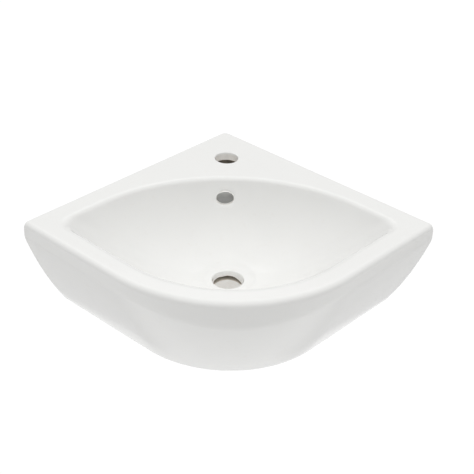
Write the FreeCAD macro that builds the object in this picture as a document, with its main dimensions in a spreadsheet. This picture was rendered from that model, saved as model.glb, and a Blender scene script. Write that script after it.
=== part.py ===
import FreeCAD, Part
import Sketcher
import math
import os

# Wall-hung corner hand basin in vitreous china, with the screw sets that hold it to two walls.
#
# Frame: +Z up, +Y towards the corner of the room, +X to the right of someone at the basin.
# The origin is on the waste outlet's axis, at the underside of the boss around it.
# The two walls meet at a right angle on the plane x = 0, so each stands at 45 degrees to X.

doc = FreeCAD.newDocument("corner_basin")
sheet = doc.addObject("Spreadsheet::Sheet", "Sizes")

DRIVING_SIZES = {
    # plan of the casting
    "wall_side": 400.0,          # corner of the walls to the flank, along each wall
    "waste_reach": 256.0,        # corner of the walls to the waste axis
    "corner_round": 8.0,         # rounding where the two wall faces meet
    "rim_width": 34.0,           # flank or front to the bowl's edge
    "ledge_width": 32.0,         # wall to the bowl's edge
    "back_reach": 151.0,         # corner of the walls to the bowl's edge, on the centre line
    "bowl_corner_round": 28.0,   # plan rounding of the bowl's two side corners, at the rim
    "deep_corner_round": 95.0,   # the same rounding, near the waste
    # height of the casting
    "total_height": 153.0,       # base to rim
    "boss_lift": 4.0,            # base to the boss's underside
    "band_depth": 20.0,          # rim to where the upright band starts to lean in
    "bend_radius": 45.0,         # soft bend under the band
    "bend_angle": 23.0,          # lean of the skirt below the bend, degrees from upright
    "skirt_radius": 780.0,       # slight bulge of the skirt
    "edge_round": 12.0,          # outer edge of the rim
    "lip_flare": 4.0,            # bowl's edge rolls outwards by this much
    "lip_depth": 7.0,            # over this height
    "wall_edge_round": 2.0,      # top edges at the walls
    # thickness of the casting
    "deck_wall": 13.5,
    "skirt_wall": 9.0,
    "flange_wall": 10.0,
    "bowl_wall": 9.0,
    # bowl and waste
    "bowl_depth": 108.0,         # rim to the edge of the waste seat
    "bowl_fullness": 2.1,        # exponent of the bowl's section
    "floor_fall": 0.1,           # share of the bowl's section that is a straight fall
    "floor_radius": 28.0,        # level middle of the bowl's floor
    "seat_radius": 34.0,         # recess that the waste flange sits in
    "seat_depth": 1.5,
    "waste_bore": 46.0,          # diameter
    "boss_radius": 40.0,
    # overflow
    "overflow_drop": 28.0,       # rim to the overflow's centre
    "overflow_width": 24.0,
    "overflow_height": 16.0,
    "duct_width": 40.0,
    "duct_depth": 12.0,          # between the bowl's back and the duct's own wall
    "duct_wall": 8.0,
    "duct_head": 12.0,           # overflow's centre to the top of the duct
    "chamber_height": 8.0,       # overflow chamber, under the bowl's wall at the waste seat
    # tap hole
    "tap_reach": 88.0,           # corner of the walls to the tap hole's centre
    "tap_bore": 35.0,            # diameter
    # wall fixings, one set for each wall
    "fixing_along": 222.0,       # corner of the walls to the screw, along the wall
    "fixing_drop": 88.0,         # rim to the screw
    "fixing_bore": 14.5,         # diameter of the hole in the ceramic
    "bush_play": 0.25,           # radial play of the bush in that hole
    "bush_collar": 24.0,         # diameter
    "bush_collar_thick": 3.0,
    "bush_recess": 1.0,          # bush's end to the wall
    "screw_diameter": 8.0,
    "screw_length": 80.0,        # under the head
    "screw_root": 5.8,           # diameter under the thread
    "thread_pitch": 3.6,
    "thread_root_width": 0.72,   # flat at the bottom of the thread's groove
    "thread_crest_width": 0.36,
    "thread_length": 52.0,
    "screw_play": 0.25,          # radial play of the screw in bush, washer and plug
    "head_across": 13.0,         # across the flats
    "head_thick": 5.5,
    "washer_diameter": 22.0,
    "washer_thick": 2.0,
    "plug_diameter": 12.0,
    "plug_length": 62.0,
    "plug_slot": 1.6,            # width of the slot that lets the plug spread
    "plug_solid": 14.0,          # unslotted length at the plug's mouth
    "plug_ring_depth": 0.5,      # grip rings cut round the plug
    "plug_ring_width": 1.5,
    "plug_ring_pitch": 5.0,
    "seat_gap": 0.05,            # faces of neighbouring fixings
    "overcut": 1.0,              # how far a cutting shape runs past the face that it opens
}

# Sizes that follow from the driving ones.
DERIVED_SIZES = {
    "wall_offset": "waste_reach / sqrt(2)",
    "front_radius": "wall_side - waste_reach / sqrt(2)",
    "base_z": "-boss_lift",
    "rim_z": "total_height - boss_lift",
    "deck_under_z": "total_height - boss_lift - deck_wall",
    "bend_z": "total_height - boss_lift - band_depth",
    "seat_z": "total_height - boss_lift - bowl_depth",
    "bore_top_z": "total_height - boss_lift - bowl_depth - seat_depth",
    "chamber_floor": "total_height - boss_lift - bowl_depth - bowl_wall - chamber_height",
    "overflow_z": "total_height - boss_lift - overflow_drop",
    "tap_y": "waste_reach - tap_reach",
    "fixing_z": "total_height - boss_lift - fixing_drop",
    "fixing_shift": "fixing_along - waste_reach / sqrt(2)",
}

row = 1
for alias, value in DRIVING_SIZES.items():
    sheet.set(f"A{row}", alias)
    sheet.set(f"B{row}", str(value))
    sheet.setAlias(f"B{row}", alias)
    row += 1
doc.recompute()
for alias, formula in DERIVED_SIZES.items():
    sheet.set(f"A{row}", alias)
    sheet.set(f"B{row}", "=" + formula)
    sheet.setAlias(f"B{row}", alias)
    row += 1
doc.recompute()


def size(alias):
    """Present value of one cell of the sheet."""
    return float(getattr(sheet, alias))


# ---------------------------------------------------------------- helpers

ACROSS_WALLS = 45.0   # the room's corner is square, and the centre line halves it
RIGHT, LEFT = 1, -1


def new_body(name):
    body = doc.addObject("PartDesign::Body", name)
    body.Label = name
    return body


def origin_plane(body, role):
    """One of the body's own base planes or axes."""
    matches = [feature for feature in body.Origin.OriginFeatures if feature.Role == role]
    return matches[0]


def new_sketch(body, name, role, turn=None):
    """Sketch on an origin plane of its body, turned about an axis of that plane if asked."""
    sketch = body.newObject("Sketcher::SketchObject", name)
    sketch.AttachmentSupport = (origin_plane(body, role), [""])
    sketch.MapMode = "FlatFace"
    if turn is not None:
        sketch.AttachmentOffset = FreeCAD.Placement(FreeCAD.Vector(0, 0, 0), turn)
    return sketch


def value_of(formula):
    """Present value of a formula of the sheet."""
    return float(sheet.evalExpression(formula))


def hold(sketch, kind, *references, by=None):
    """Add a constraint. Its value, if it has one, follows a formula of the sheet."""
    if by is None:
        sketch.addConstraint(Sketcher.Constraint(kind, *references))
        return
    index = sketch.addConstraint(Sketcher.Constraint(kind, *references, value_of(by)))
    sketch.setExpression(f"Constraints[{index}]", by)


def point(x, y):
    return FreeCAD.Vector(x, y, 0)


def add_outline(sketch, corners):
    """Closed loop of straight lines, each tied to the next."""
    first = sketch.GeometryCount
    count = len(corners)
    for i in range(count):
        line = Part.LineSegment(point(*corners[i]), point(*corners[(i + 1) % count]))
        sketch.addGeometry(line, False)
    for i in range(count):
        hold(sketch, "Coincident", first + i, 2, first + (i + 1) % count, 1)
    return first


def add_rectangle(sketch, left, bottom, right, top):
    """Rectangle whose four sides follow formulas of the sheet."""
    low = (value_of(left), value_of(bottom))
    high = (value_of(right), value_of(top))
    first = add_outline(sketch, [low, (high[0], low[1]), high, (low[0], high[1])])
    for side in (0, 2):
        hold(sketch, "Horizontal", first + side)
        hold(sketch, "Vertical", first + side + 1)
    hold(sketch, "DistanceX", first, 1, by=left)
    hold(sketch, "DistanceY", first, 1, by=bottom)
    hold(sketch, "DistanceX", first + 2, 1, by=right)
    hold(sketch, "DistanceY", first + 2, 1, by=top)


def add_steps(sketch, corners):
    """Closed loop whose corners each follow two formulas of the sheet."""
    numbers = [(value_of(x), value_of(y)) for x, y in corners]
    first = add_outline(sketch, numbers)
    for i, (x, y) in enumerate(corners):
        hold(sketch, "DistanceX", first + i, 1, by=x)
        hold(sketch, "DistanceY", first + i, 1, by=y)


def add_pad(body, sketch, length, symmetric=False):
    pad = body.newObject("PartDesign::Pad", sketch.Name + "_pad")
    pad.Profile = sketch
    pad.Midplane = symmetric
    pad.setExpression("Length", length)
    sketch.Visibility = False
    return pad


def add_turned(body, sketch, kind="PartDesign::Revolution"):
    """Full turn of a sketch about its own upright axis, added or cut away."""
    turned = body.newObject(kind, sketch.Name + "_turned")
    turned.Profile = sketch
    turned.ReferenceAxis = (sketch, ["V_Axis"])
    turned.Angle = 360.0
    return turned


def lift(sketch, height):
    """Raise a sketch off its plane by a formula of the sheet."""
    sketch.setExpression("AttachmentOffset.Base.z", height)


# ---------------------------------------------------------------- outer form of the casting

def add_skirt_section(sketch, inset, top, bottom):
    """Half section of the casting: upright band, soft bend and leaning, slightly bulged skirt.

    The sketch's X runs from the front towards the waste axis and its Y runs up.
    """
    radius = f"Sizes.front_radius - {inset}"
    bend = f"Sizes.bend_radius - {inset}"
    bulge = f"Sizes.skirt_radius - {inset}"
    lean = math.radians(size("bend_angle"))
    front = value_of(radius)
    bend_centre = point(value_of(bend) - front, size("bend_z"))
    outward = point(-math.cos(lean), -math.sin(lean))
    bend_end = bend_centre + outward * value_of(bend)
    bulge_centre = bend_end - outward * value_of(bulge)
    base = value_of(bottom)
    lean_below = math.asin((bulge_centre.y - base) / value_of(bulge))
    base_x = bulge_centre.x - value_of(bulge) * math.cos(lean_below)
    crown = value_of(top)
    axis_up = FreeCAD.Vector(0, 0, 1)
    bend_circle = Part.Circle(bend_centre, axis_up, value_of(bend))
    bulge_circle = Part.Circle(bulge_centre, axis_up, value_of(bulge))
    pieces = [
        Part.LineSegment(point(0, base), point(0, crown)),
        Part.LineSegment(point(0, crown), point(-front, crown)),
        Part.LineSegment(point(-front, crown), point(-front, bend_centre.y)),
        Part.ArcOfCircle(bend_circle, math.pi, math.pi + lean),
        Part.ArcOfCircle(bulge_circle, math.pi + lean, math.pi + lean_below),
        Part.LineSegment(point(base_x, base), point(0, base)),
    ]
    axis, rim, band, bend_arc, bulge_arc, foot = [sketch.addGeometry(piece, False) for piece in pieces]
    hold(sketch, "Coincident", axis, 2, rim, 1)
    hold(sketch, "Coincident", rim, 2, band, 1)
    hold(sketch, "Tangent", band, 2, bend_arc, 1)
    hold(sketch, "Tangent", bend_arc, 2, bulge_arc, 1)
    hold(sketch, "Coincident", bulge_arc, 2, foot, 1)
    hold(sketch, "Coincident", foot, 2, axis, 1)
    hold(sketch, "PointOnObject", axis, 1, -2)
    hold(sketch, "Vertical", axis)
    hold(sketch, "Horizontal", rim)
    hold(sketch, "Vertical", band)
    hold(sketch, "Horizontal", foot)
    hold(sketch, "DistanceY", axis, 2, by=top)
    hold(sketch, "DistanceY", axis, 1, by=bottom)
    hold(sketch, "DistanceX", rim, 2, by=f"-({radius})")
    hold(sketch, "DistanceY", band, 2, by="Sizes.bend_z")
    hold(sketch, "Radius", bend_arc, by=bend)
    hold(sketch, "Radius", bulge_arc, by=bulge)
    hold(sketch, "DistanceY", bend_arc, 2, by=f"Sizes.bend_z - ({bend}) * sin(Sizes.bend_angle)")


def envelope(name, inset, top, bottom, wall_gap):
    """Block with the casting's outer form, brought in by inset at the skirt and wall_gap at the walls."""
    body = new_body(name)
    front = new_sketch(body, name + "_front", "YZ_Plane")
    add_skirt_section(front, inset, top, bottom)
    sweep = body.newObject("PartDesign::Revolution", name + "_sweep")
    sweep.Profile = front
    sweep.ReferenceAxis = (front, ["V_Axis"])
    sweep.Angle = 2 * ACROSS_WALLS
    sweep.Midplane = True

    to_wall = f"Sizes.wall_offset - {wall_gap}"
    turn = FreeCAD.Rotation(FreeCAD.Vector(0, 1, 0), ACROSS_WALLS)
    side = new_sketch(body, name + "_side", "YZ_Plane", turn)
    add_skirt_section(side, inset, top, bottom)
    flank = add_pad(body, side, to_wall)
    doc.recompute()
    flanks = body.newObject("PartDesign::Mirrored", name + "_flanks")
    flanks.Originals = [flank]
    flanks.MirrorPlane = (origin_plane(body, "YZ_Plane"), [""])
    body.Tip = flanks

    turn = FreeCAD.Rotation(FreeCAD.Vector(0, 0, 1), ACROSS_WALLS)
    corner = new_sketch(body, name + "_corner", "XY_Plane", turn)
    add_rectangle(corner, "0", "0", to_wall, to_wall)
    lift(corner, bottom)
    add_pad(body, corner, f"{top} - ({bottom})")
    doc.recompute()
    return body


def add_edge_fillet(body, name, radius, wanted):
    """Round the edges of the body's last feature that pass the test."""
    base = body.Tip
    names = [f"Edge{i + 1}" for i, edge in enumerate(base.Shape.Edges) if wanted(edge)]
    fillet = body.newObject("PartDesign::Fillet", name)
    fillet.Base = (base, names)
    fillet.setExpression("Radius", radius)
    body.Tip = fillet
    doc.recompute()
    return fillet


NEAR = 0.01   # tolerance when an edge is looked up by its place


def wall_distance(spot):
    """How far a spot is from the nearer wall."""
    return size("wall_offset") - (abs(spot.x) + spot.y) / math.sqrt(2)


def at_height(edge, height):
    return all(abs(vertex.Z - height) < NEAR for vertex in edge.Vertexes)


def middle_of(edge):
    return edge.valueAt((edge.FirstParameter + edge.LastParameter) / 2)


def is_wall_corner(edge):
    """The upright edge where the two wall faces meet."""
    spot = middle_of(edge)
    return abs(spot.x) < NEAR and abs(spot.y - size("waste_reach")) < NEAR


def is_rim_edge(edge):
    """Top edge of the flanks and the front."""
    return at_height(edge, size("rim_z")) and wall_distance(middle_of(edge)) > size("corner_round")


def is_wall_edge(edge):
    """Top edge along the walls."""
    return at_height(edge, size("rim_z")) and wall_distance(middle_of(edge)) < size("corner_round")


outer_form = envelope("outer_form", "0", "Sizes.rim_z", "Sizes.base_z", "0")
add_edge_fillet(outer_form, "corner_rounding", "Sizes.corner_round", is_wall_corner)
add_edge_fillet(outer_form, "rim_rounding", "Sizes.edge_round", is_rim_edge)
add_edge_fillet(outer_form, "wall_edge_rounding", "Sizes.wall_edge_round", is_wall_edge)
hollow_form = envelope(
    "hollow_form", "Sizes.skirt_wall",
    "Sizes.deck_under_z", "Sizes.base_z - Sizes.overcut", "Sizes.flange_wall",
)


# ---------------------------------------------------------------- bowl

HALF_SPANS = 36        # spans along each half section of the bowl
SECTION_STEPS = 10     # steps between rim and waste seat, closer together near the rim
ABOVE_RIM = 1.004      # share of the bowl's width just above the rim
WITHIN_DECK = 0.985    # share of the bowl's width just below the deck's face


def reach_of_circle(direction, centre_y, radius):
    """Distance from the waste axis, along a direction, to a circle centred on the centre line."""
    along = direction.y * centre_y
    return along + math.sqrt(radius ** 2 - centre_y ** 2 + along ** 2)


def bowl_reach(angle, growth, corner_round):
    """Plan distance from the waste axis to the bowl's edge, grown by a thickness.

    The angle is measured from the front. The edge is an arc round the waste in front, a straight
    run beside each flank and each wall, a rounded corner between them, and one arc at the back.
    """
    angle = abs(math.remainder(angle, 2 * math.pi))
    half_corner = math.radians(ACROSS_WALLS)
    direction = point(math.sin(angle), -math.cos(angle))
    to_flank = math.cos(angle - half_corner)
    to_wall = math.sin(angle - half_corner)
    front = size("front_radius") - size("rim_width") + growth
    side = size("wall_offset") - size("ledge_width") + growth
    rounding = corner_round + growth
    ledge = size("ledge_width")
    back_y = size("waste_reach") - size("back_reach")
    back_round = (size("back_reach") / math.sqrt(2) - ledge) / (1 - math.sqrt(0.5))
    back_centre = back_y - back_round
    back_round += growth
    back_start = math.atan2(back_round / math.sqrt(2), -(back_centre + back_round / math.sqrt(2)))
    round_start = math.atan2(side - rounding, front)
    round_end = math.atan2(side, front - rounding)
    if angle <= half_corner:
        return front
    if angle - half_corner <= round_start:
        return front / to_flank
    if angle - half_corner <= round_end:
        along = (front - rounding) * to_flank + (side - rounding) * to_wall
        square = (front - rounding) ** 2 + (side - rounding) ** 2
        return along + math.sqrt(along ** 2 - square + rounding ** 2)
    if angle <= back_start:
        return side / to_wall
    return reach_of_circle(direction, back_centre, back_round)


def bowl_depth_at(share, growth):
    """Depth below the rim where the bowl's section has this share of its width left."""
    curved = 1 - share ** size("bowl_fullness")
    straight = 1 - share
    fall = size("floor_fall")
    return (size("bowl_depth") + growth) * ((1 - fall) * curved + fall * straight)


def bowl_back_at(depth, growth):
    """How far behind the waste axis the bowl's back is, at one depth on the centre line."""
    low, high = 0.0, 1.0
    while high - low > NEAR / size("bowl_depth"):
        share = (low + high) / 2
        if bowl_depth_at(share, growth) > depth:
            low = share
        else:
            high = share
    inner = size("floor_radius") + growth
    return inner + (bowl_reach(math.pi, growth, size("bowl_corner_round")) - inner) * low


def bowl_half_section(share, growth, lip):
    """Smooth edge round the right half of the bowl at one level, from the front to the back."""
    depth = bowl_depth_at(share, growth)
    level = size("rim_z") - depth
    inner = size("floor_radius") + growth
    corner_round = size("deep_corner_round")
    corner_round += (size("bowl_corner_round") - corner_round) * min(share, 1)
    flare = 0
    if lip and depth < size("lip_depth"):
        flare = size("lip_flare") * (1 - depth / size("lip_depth")) ** 2
    spots = []
    for step in range(HALF_SPANS + 1):
        angle = math.pi * step / HALF_SPANS
        reach = inner + (bowl_reach(angle, growth, corner_round) - inner) * share + flare
        spots.append(FreeCAD.Vector(reach * math.sin(angle), -reach * math.cos(angle), level))
    across = FreeCAD.Vector(1, 0, 0)
    curve = Part.BSplineCurve()
    curve.interpolate(spots, InitialTangent=across, FinalTangent=across * -1)
    return curve.toShape()


def with_mirror_image(shapes):
    """The shapes and their copies across the centre plane."""
    return shapes + [shape.mirror(FreeCAD.Vector(0, 0, 0), FreeCAD.Vector(1, 0, 0)) for shape in shapes]


def bowl_solid(name, growth, top_share, lip=False):
    """Solid with the bowl's form, grown by a thickness, from near the rim down to the waste seat."""
    shares = [top_share * (1 - (step / SECTION_STEPS) ** 2) for step in range(SECTION_STEPS + 1)]
    edges = [bowl_half_section(share, growth, lip) for share in shares]
    side = Part.makeLoft([Part.Wire([edge]) for edge in edges], False, False)
    caps = [Part.Face(Part.Wire(with_mirror_image([edge]))) for edge in (edges[0], edges[-1])]
    shell = Part.Shell(with_mirror_image(side.Faces) + caps)
    shell.sewShape()
    solid = doc.addObject("Part::Feature", name)
    solid.Shape = Part.Solid(shell)
    solid.Label = name
    return solid


bowl_inside = bowl_solid("bowl_inside", 0, ABOVE_RIM, lip=True)
bowl_skin = bowl_solid("bowl_skin", size("bowl_wall"), WITHIN_DECK)


# ---------------------------------------------------------------- waste, overflow, tap and fixing holes

def add_shape(kind, name, turn=None, **formulas):
    """Simple solid whose sizes and place follow formulas of the sheet."""
    solid = doc.addObject(kind, name)
    if turn is not None:
        solid.Placement = FreeCAD.Placement(FreeCAD.Vector(0, 0, 0), turn)
    for key, formula in formulas.items():
        solid.setExpression(key.replace("_", ".") if key.startswith("Placement") else key, formula)
    return solid


def add_box(name, x, y, z):
    """Box between two formulas along each axis."""
    return add_shape(
        "Part::Box", name,
        Length=f"{x[1]} - ({x[0]})", Width=f"{y[1]} - ({y[0]})", Height=f"{z[1]} - ({z[0]})",
        Placement_Base_x=x[0], Placement_Base_y=y[0], Placement_Base_z=z[0],
    )


def combine(kind, name, first, second):
    """Part::Cut or Part::Common of two solids."""
    result = doc.addObject(kind, name)
    result.Base = first
    result.Tool = second
    return result


def fuse(name, solids):
    result = doc.addObject("Part::MultiFuse", name)
    result.Shapes = solids
    return result


boss = add_shape(
    "Part::Cylinder", "waste_boss",
    Radius="Sizes.boss_radius", Height="Sizes.seat_z",
)

duct_growth = size("bowl_wall") + size("duct_depth")
duct_skin = bowl_solid("duct_skin", duct_growth, WITHIN_DECK)
duct_form = bowl_solid("duct_form", duct_growth + size("duct_wall"), WITHIN_DECK)
half_duct = "Sizes.duct_width / 2"
half_casing = "(Sizes.duct_width / 2 + Sizes.duct_wall)"
duct_casing = combine("Part::Common", "duct_casing", duct_form, add_box(
    "duct_casing_limits",
    (f"-{half_casing}", half_casing),
    ("0", "Sizes.waste_reach"),
    ("Sizes.base_z", "Sizes.rim_z"),
))
duct_gap = combine("Part::Cut", "duct_gap", duct_skin, bowl_skin)
duct_void = combine("Part::Common", "duct_void", duct_gap, add_box(
    "duct_void_limits",
    (f"-{half_duct}", half_duct),
    ("0", "Sizes.waste_reach"),
    ("Sizes.chamber_floor", "Sizes.overflow_z + Sizes.duct_head"),
))

# the overflow runs from inside the bowl to the middle of the duct
duct_middle = size("bowl_wall") + size("duct_depth") / 2
sheet.set(f"A{row}", "overflow_end")
sheet.set(f"B{row}", str(bowl_back_at(size("overflow_drop"), duct_middle)))
sheet.setAlias(f"B{row}", "overflow_end")
doc.recompute()

overflow_hole = new_body("overflow_hole")
overflow_outline = new_sketch(overflow_hole, "overflow_outline", "XZ_Plane")
overflow_ellipse = Part.Ellipse(
    point(0, size("overflow_z")), size("overflow_width") / 2, size("overflow_height") / 2,
)
oval = overflow_outline.addGeometry(overflow_ellipse, False)
overflow_outline.exposeInternalGeometry(oval)
long_axis = oval + 1
short_axis = oval + 2
hold(overflow_outline, "Horizontal", long_axis)
hold(overflow_outline, "Distance", long_axis, by="Sizes.overflow_width")
hold(overflow_outline, "Distance", short_axis, by="Sizes.overflow_height")
hold(overflow_outline, "PointOnObject", oval, 3, -2)
hold(overflow_outline, "DistanceY", oval, 3, by="Sizes.overflow_z")
overflow_prism = add_pad(overflow_hole, overflow_outline, "Sizes.overflow_end")
overflow_prism.Reversed = True

# the recess for the waste's flange and the bore below it, as one turned section
waste_opening = new_body("waste_opening")
waste_section = new_sketch(waste_opening, "waste_section", "XZ_Plane")
WASTE_TOP = "Sizes.seat_z + 3 * Sizes.overcut"
add_steps(waste_section, [
    ("0", "-Sizes.overcut"),
    ("Sizes.waste_bore / 2", "-Sizes.overcut"),
    ("Sizes.waste_bore / 2", "Sizes.bore_top_z"),
    ("Sizes.seat_radius", "Sizes.bore_top_z"),
    ("Sizes.seat_radius", WASTE_TOP),
    ("0", WASTE_TOP),
])
add_turned(waste_opening, waste_section)

tap_hole = add_shape(
    "Part::Cylinder", "tap_hole",
    Radius="Sizes.tap_bore / 2", Height="Sizes.deck_wall + 2 * Sizes.overcut",
    Placement_Base_y="Sizes.tap_y", Placement_Base_z="Sizes.deck_under_z - Sizes.overcut",
)


def out_of_wall(side):
    """Unit vector across one wall's plane, away from the room."""
    return FreeCAD.Vector(side, 1, 0) / math.sqrt(2)


def place_at_wall(solid, side, lead="0"):
    """Set a solid's own Z along the screw, into the room, with its origin on the wall's plane.

    lead moves the origin out into the wall.
    """
    inward = out_of_wall(side) * -1
    turn = FreeCAD.Rotation(FreeCAD.Vector(0, 0, 1), inward)
    solid.Placement = FreeCAD.Placement(FreeCAD.Vector(0, 0, 0), turn)
    reach = f"(Sizes.wall_offset + ({lead}))"
    across = f"{side} * ({reach} + Sizes.fixing_shift) / sqrt(2)"
    solid.setExpression("Placement.Base.x", across)
    solid.setExpression("Placement.Base.y", f"({reach} - Sizes.fixing_shift) / sqrt(2)")
    solid.setExpression("Placement.Base.z", "Sizes.fixing_z")


fixing_holes = []
for side in (RIGHT, LEFT):
    hole = add_shape(
        "Part::Cylinder", "fixing_hole",
        Radius="Sizes.fixing_bore / 2", Height="Sizes.flange_wall + 2 * Sizes.overcut",
    )
    place_at_wall(hole, side, "Sizes.overcut")
    fixing_holes.append(hole)


# ---------------------------------------------------------------- the casting itself

shell = combine("Part::Cut", "casting_shell", outer_form, hollow_form)
ceramic_basin = fuse("casting_walls", [shell, bowl_skin, boss, duct_casing])
openings = [bowl_inside, duct_void, overflow_hole, waste_opening, tap_hole, *fixing_holes]
for opening in openings:
    ceramic_basin = combine("Part::Cut", "casting_less_" + opening.Name, ceramic_basin, opening)
ceramic_basin.Label = "ceramic_basin"


# ---------------------------------------------------------------- wall fixings
#
# Each piece stands on its own Z, which runs along the screw and into the room. Z is zero on the
# wall's plane, so the flange of the casting lies between 0 and flange_wall.

COLLAR_START = "Sizes.flange_wall + Sizes.seat_gap"
WASHER_START = f"{COLLAR_START} + Sizes.bush_collar_thick + Sizes.seat_gap"
HEAD_START = f"{WASHER_START} + Sizes.washer_thick + Sizes.seat_gap"
SCREW_HOLE = "Sizes.screw_diameter / 2 + Sizes.screw_play"


def turned_body(name, corners):
    """Body turned about its own Z from a half section given as (radius, height) formulas."""
    body = new_body(name)
    section = new_sketch(body, name + "_section", "XZ_Plane")
    add_steps(section, corners)
    add_turned(body, section)
    doc.recompute()
    return body


def coach_screw(name):
    """Hexagon-headed wood screw: head, plain shank, threaded end and point."""
    radius = "Sizes.screw_diameter / 2"
    tip = f"{HEAD_START} - Sizes.screw_length"
    body = turned_body(name, [
        ("0", tip),
        (radius, f"{tip} + Sizes.screw_diameter"),
        (radius, HEAD_START),
        ("0", HEAD_START),
    ])

    head = new_sketch(body, name + "_head", "XY_Plane")
    corner = value_of("Sizes.head_across / 2 / cos(30)")
    corners = [(corner * math.cos(math.radians(60 * i)), corner * math.sin(math.radians(60 * i)))
               for i in range(6)]
    first = add_outline(head, corners)
    rim = Part.Circle(point(0, 0), FreeCAD.Vector(0, 0, 1), corner)
    ring = head.addGeometry(rim, True)
    hold(head, "Coincident", ring, 3, -1, 1)
    hold(head, "Radius", ring, by="Sizes.head_across / 2 / cos(30)")
    for side in range(6):
        hold(head, "PointOnObject", first + side, 1, ring)
        if side:
            hold(head, "Equal", first, first + side)
    hold(head, "PointOnObject", first, 1, -1)
    lift(head, HEAD_START)
    add_pad(body, head, "Sizes.head_thick")
    doc.recompute()

    # the thread's crests, as rings left between V grooves
    start = f"{tip} + Sizes.screw_diameter + Sizes.thread_pitch"
    groove = new_sketch(body, name + "_groove", "XZ_Plane")
    root = "Sizes.screw_root / 2"
    half_mouth = "(Sizes.thread_pitch - Sizes.thread_crest_width) / 2"
    add_steps(groove, [
        (root, f"{start} - Sizes.thread_root_width / 2"),
        (radius, f"{start} - {half_mouth}"),
        (f"{radius} + Sizes.overcut", f"{start} - {half_mouth}"),
        (f"{radius} + Sizes.overcut", f"{start} + {half_mouth}"),
        (radius, f"{start} + {half_mouth}"),
        (root, f"{start} + Sizes.thread_root_width / 2"),
    ])
    cut = add_turned(body, groove, "PartDesign::Groove")
    doc.recompute()
    thread = body.newObject("PartDesign::LinearPattern", name + "_thread")
    thread.Originals = [cut]
    thread.Direction = (groove, ["V_Axis"])
    turns = "floor((Sizes.thread_length - Sizes.screw_diameter) / Sizes.thread_pitch)"
    thread.setExpression("Length", f"Sizes.thread_pitch * ({turns} - 1)")
    thread.setExpression("Occurrences", turns)
    body.Tip = thread
    return body


def washer(name):
    """Plain steel washer under the screw's head."""
    rim = "Sizes.washer_diameter / 2"
    return turned_body(name, [
        (SCREW_HOLE, WASHER_START),
        (rim, WASHER_START),
        (rim, f"{WASHER_START} + Sizes.washer_thick"),
        (SCREW_HOLE, f"{WASHER_START} + Sizes.washer_thick"),
    ])


def flanged_bush(name):
    """Plastic bush that lines the hole in the casting, with a collar against its inner face."""
    sleeve = "Sizes.fixing_bore / 2 - Sizes.bush_play"
    collar = "Sizes.bush_collar / 2"
    collar_end = f"{COLLAR_START} + Sizes.bush_collar_thick"
    return turned_body(name, [
        (SCREW_HOLE, "Sizes.bush_recess"),
        (sleeve, "Sizes.bush_recess"),
        (sleeve, COLLAR_START),
        (collar, COLLAR_START),
        (collar, collar_end),
        (SCREW_HOLE, collar_end),
    ])


def wall_plug(name):
    """Nylon plug that spreads in the wall: ringed for grip and slotted from its end."""
    rim = "Sizes.plug_diameter / 2"
    mouth = "-Sizes.seat_gap"
    end = f"{mouth} - Sizes.plug_length"
    body = turned_body(name, [
        (SCREW_HOLE, end),
        (rim, end),
        (rim, mouth),
        (SCREW_HOLE, mouth),
    ])

    slot = new_sketch(body, name + "_slot", "XY_Plane")
    half = "Sizes.plug_slot / 2"
    add_rectangle(slot, "-Sizes.plug_diameter", f"-{half}", "Sizes.plug_diameter", half)
    lift(slot, f"{end} - Sizes.overcut")
    split = body.newObject("PartDesign::Pocket", name + "_split")
    split.Profile = slot
    split.Reversed = True
    split.setExpression("Length", "Sizes.plug_length - Sizes.plug_solid + Sizes.overcut")
    doc.recompute()

    ring = new_sketch(body, name + "_ring", "XZ_Plane")
    start = f"{end} + Sizes.plug_ring_pitch"
    add_steps(ring, [
        (f"{rim} - Sizes.plug_ring_depth", start),
        (f"{rim} + Sizes.overcut", start),
        (f"{rim} + Sizes.overcut", f"{start} + Sizes.plug_ring_width"),
        (rim, f"{start} + Sizes.plug_ring_width"),
    ])
    cut = add_turned(body, ring, "PartDesign::Groove")
    doc.recompute()
    rings = body.newObject("PartDesign::LinearPattern", name + "_rings")
    rings.Originals = [cut]
    rings.Direction = (ring, ["V_Axis"])
    count = "floor((Sizes.plug_length - Sizes.plug_solid) / Sizes.plug_ring_pitch)"
    rings.setExpression("Length", f"Sizes.plug_ring_pitch * ({count} - 1)")
    rings.setExpression("Occurrences", count)
    body.Tip = rings
    return body


subparts = [ceramic_basin]
for side, hand in ((RIGHT, "right"), (LEFT, "left")):
    for make in (coach_screw, washer, flanged_bush, wall_plug):
        piece = make(f"{hand}_{make.__name__}")
        place_at_wall(piece, side)
        subparts.append(piece)


# ---------------------------------------------------------------- check and export

doc.recompute()
for item in doc.Objects:
    if "Invalid" in item.State or "Error" in item.State:
        raise RuntimeError(f"{item.Label} failed to build: {item.State}")

os.makedirs("parts", exist_ok=True)
for subpart in subparts:
    shape = subpart.Shape
    if shape.isNull() or not shape.isValid():
        raise RuntimeError(f"{subpart.Label} has no sound shape")
    shape.exportStep(f"parts/{subpart.Label}.step")
    print(f"{subpart.Label}: {len(shape.Solids)} solid, {shape.Volume / 1000:.1f} cm3")
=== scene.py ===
# %% [markdown]
# # A corner hand basin in Blender
# The basin is one slip-cast, glazed piece of vitreous china that hangs in the corner of a room,
# with a coach screw, washer, bush and plug in each wall. The CAD model gives every piece its place
# and size. This script loads it as a fixed frame and gives it the looks of the real thing. It
# builds a finer skin for the basin and finer screws, and gives the small CAD pieces a finish.

# %% Load the frame
import math

import bmesh
import bpy
from mathutils import Matrix, Vector, geometry


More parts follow.
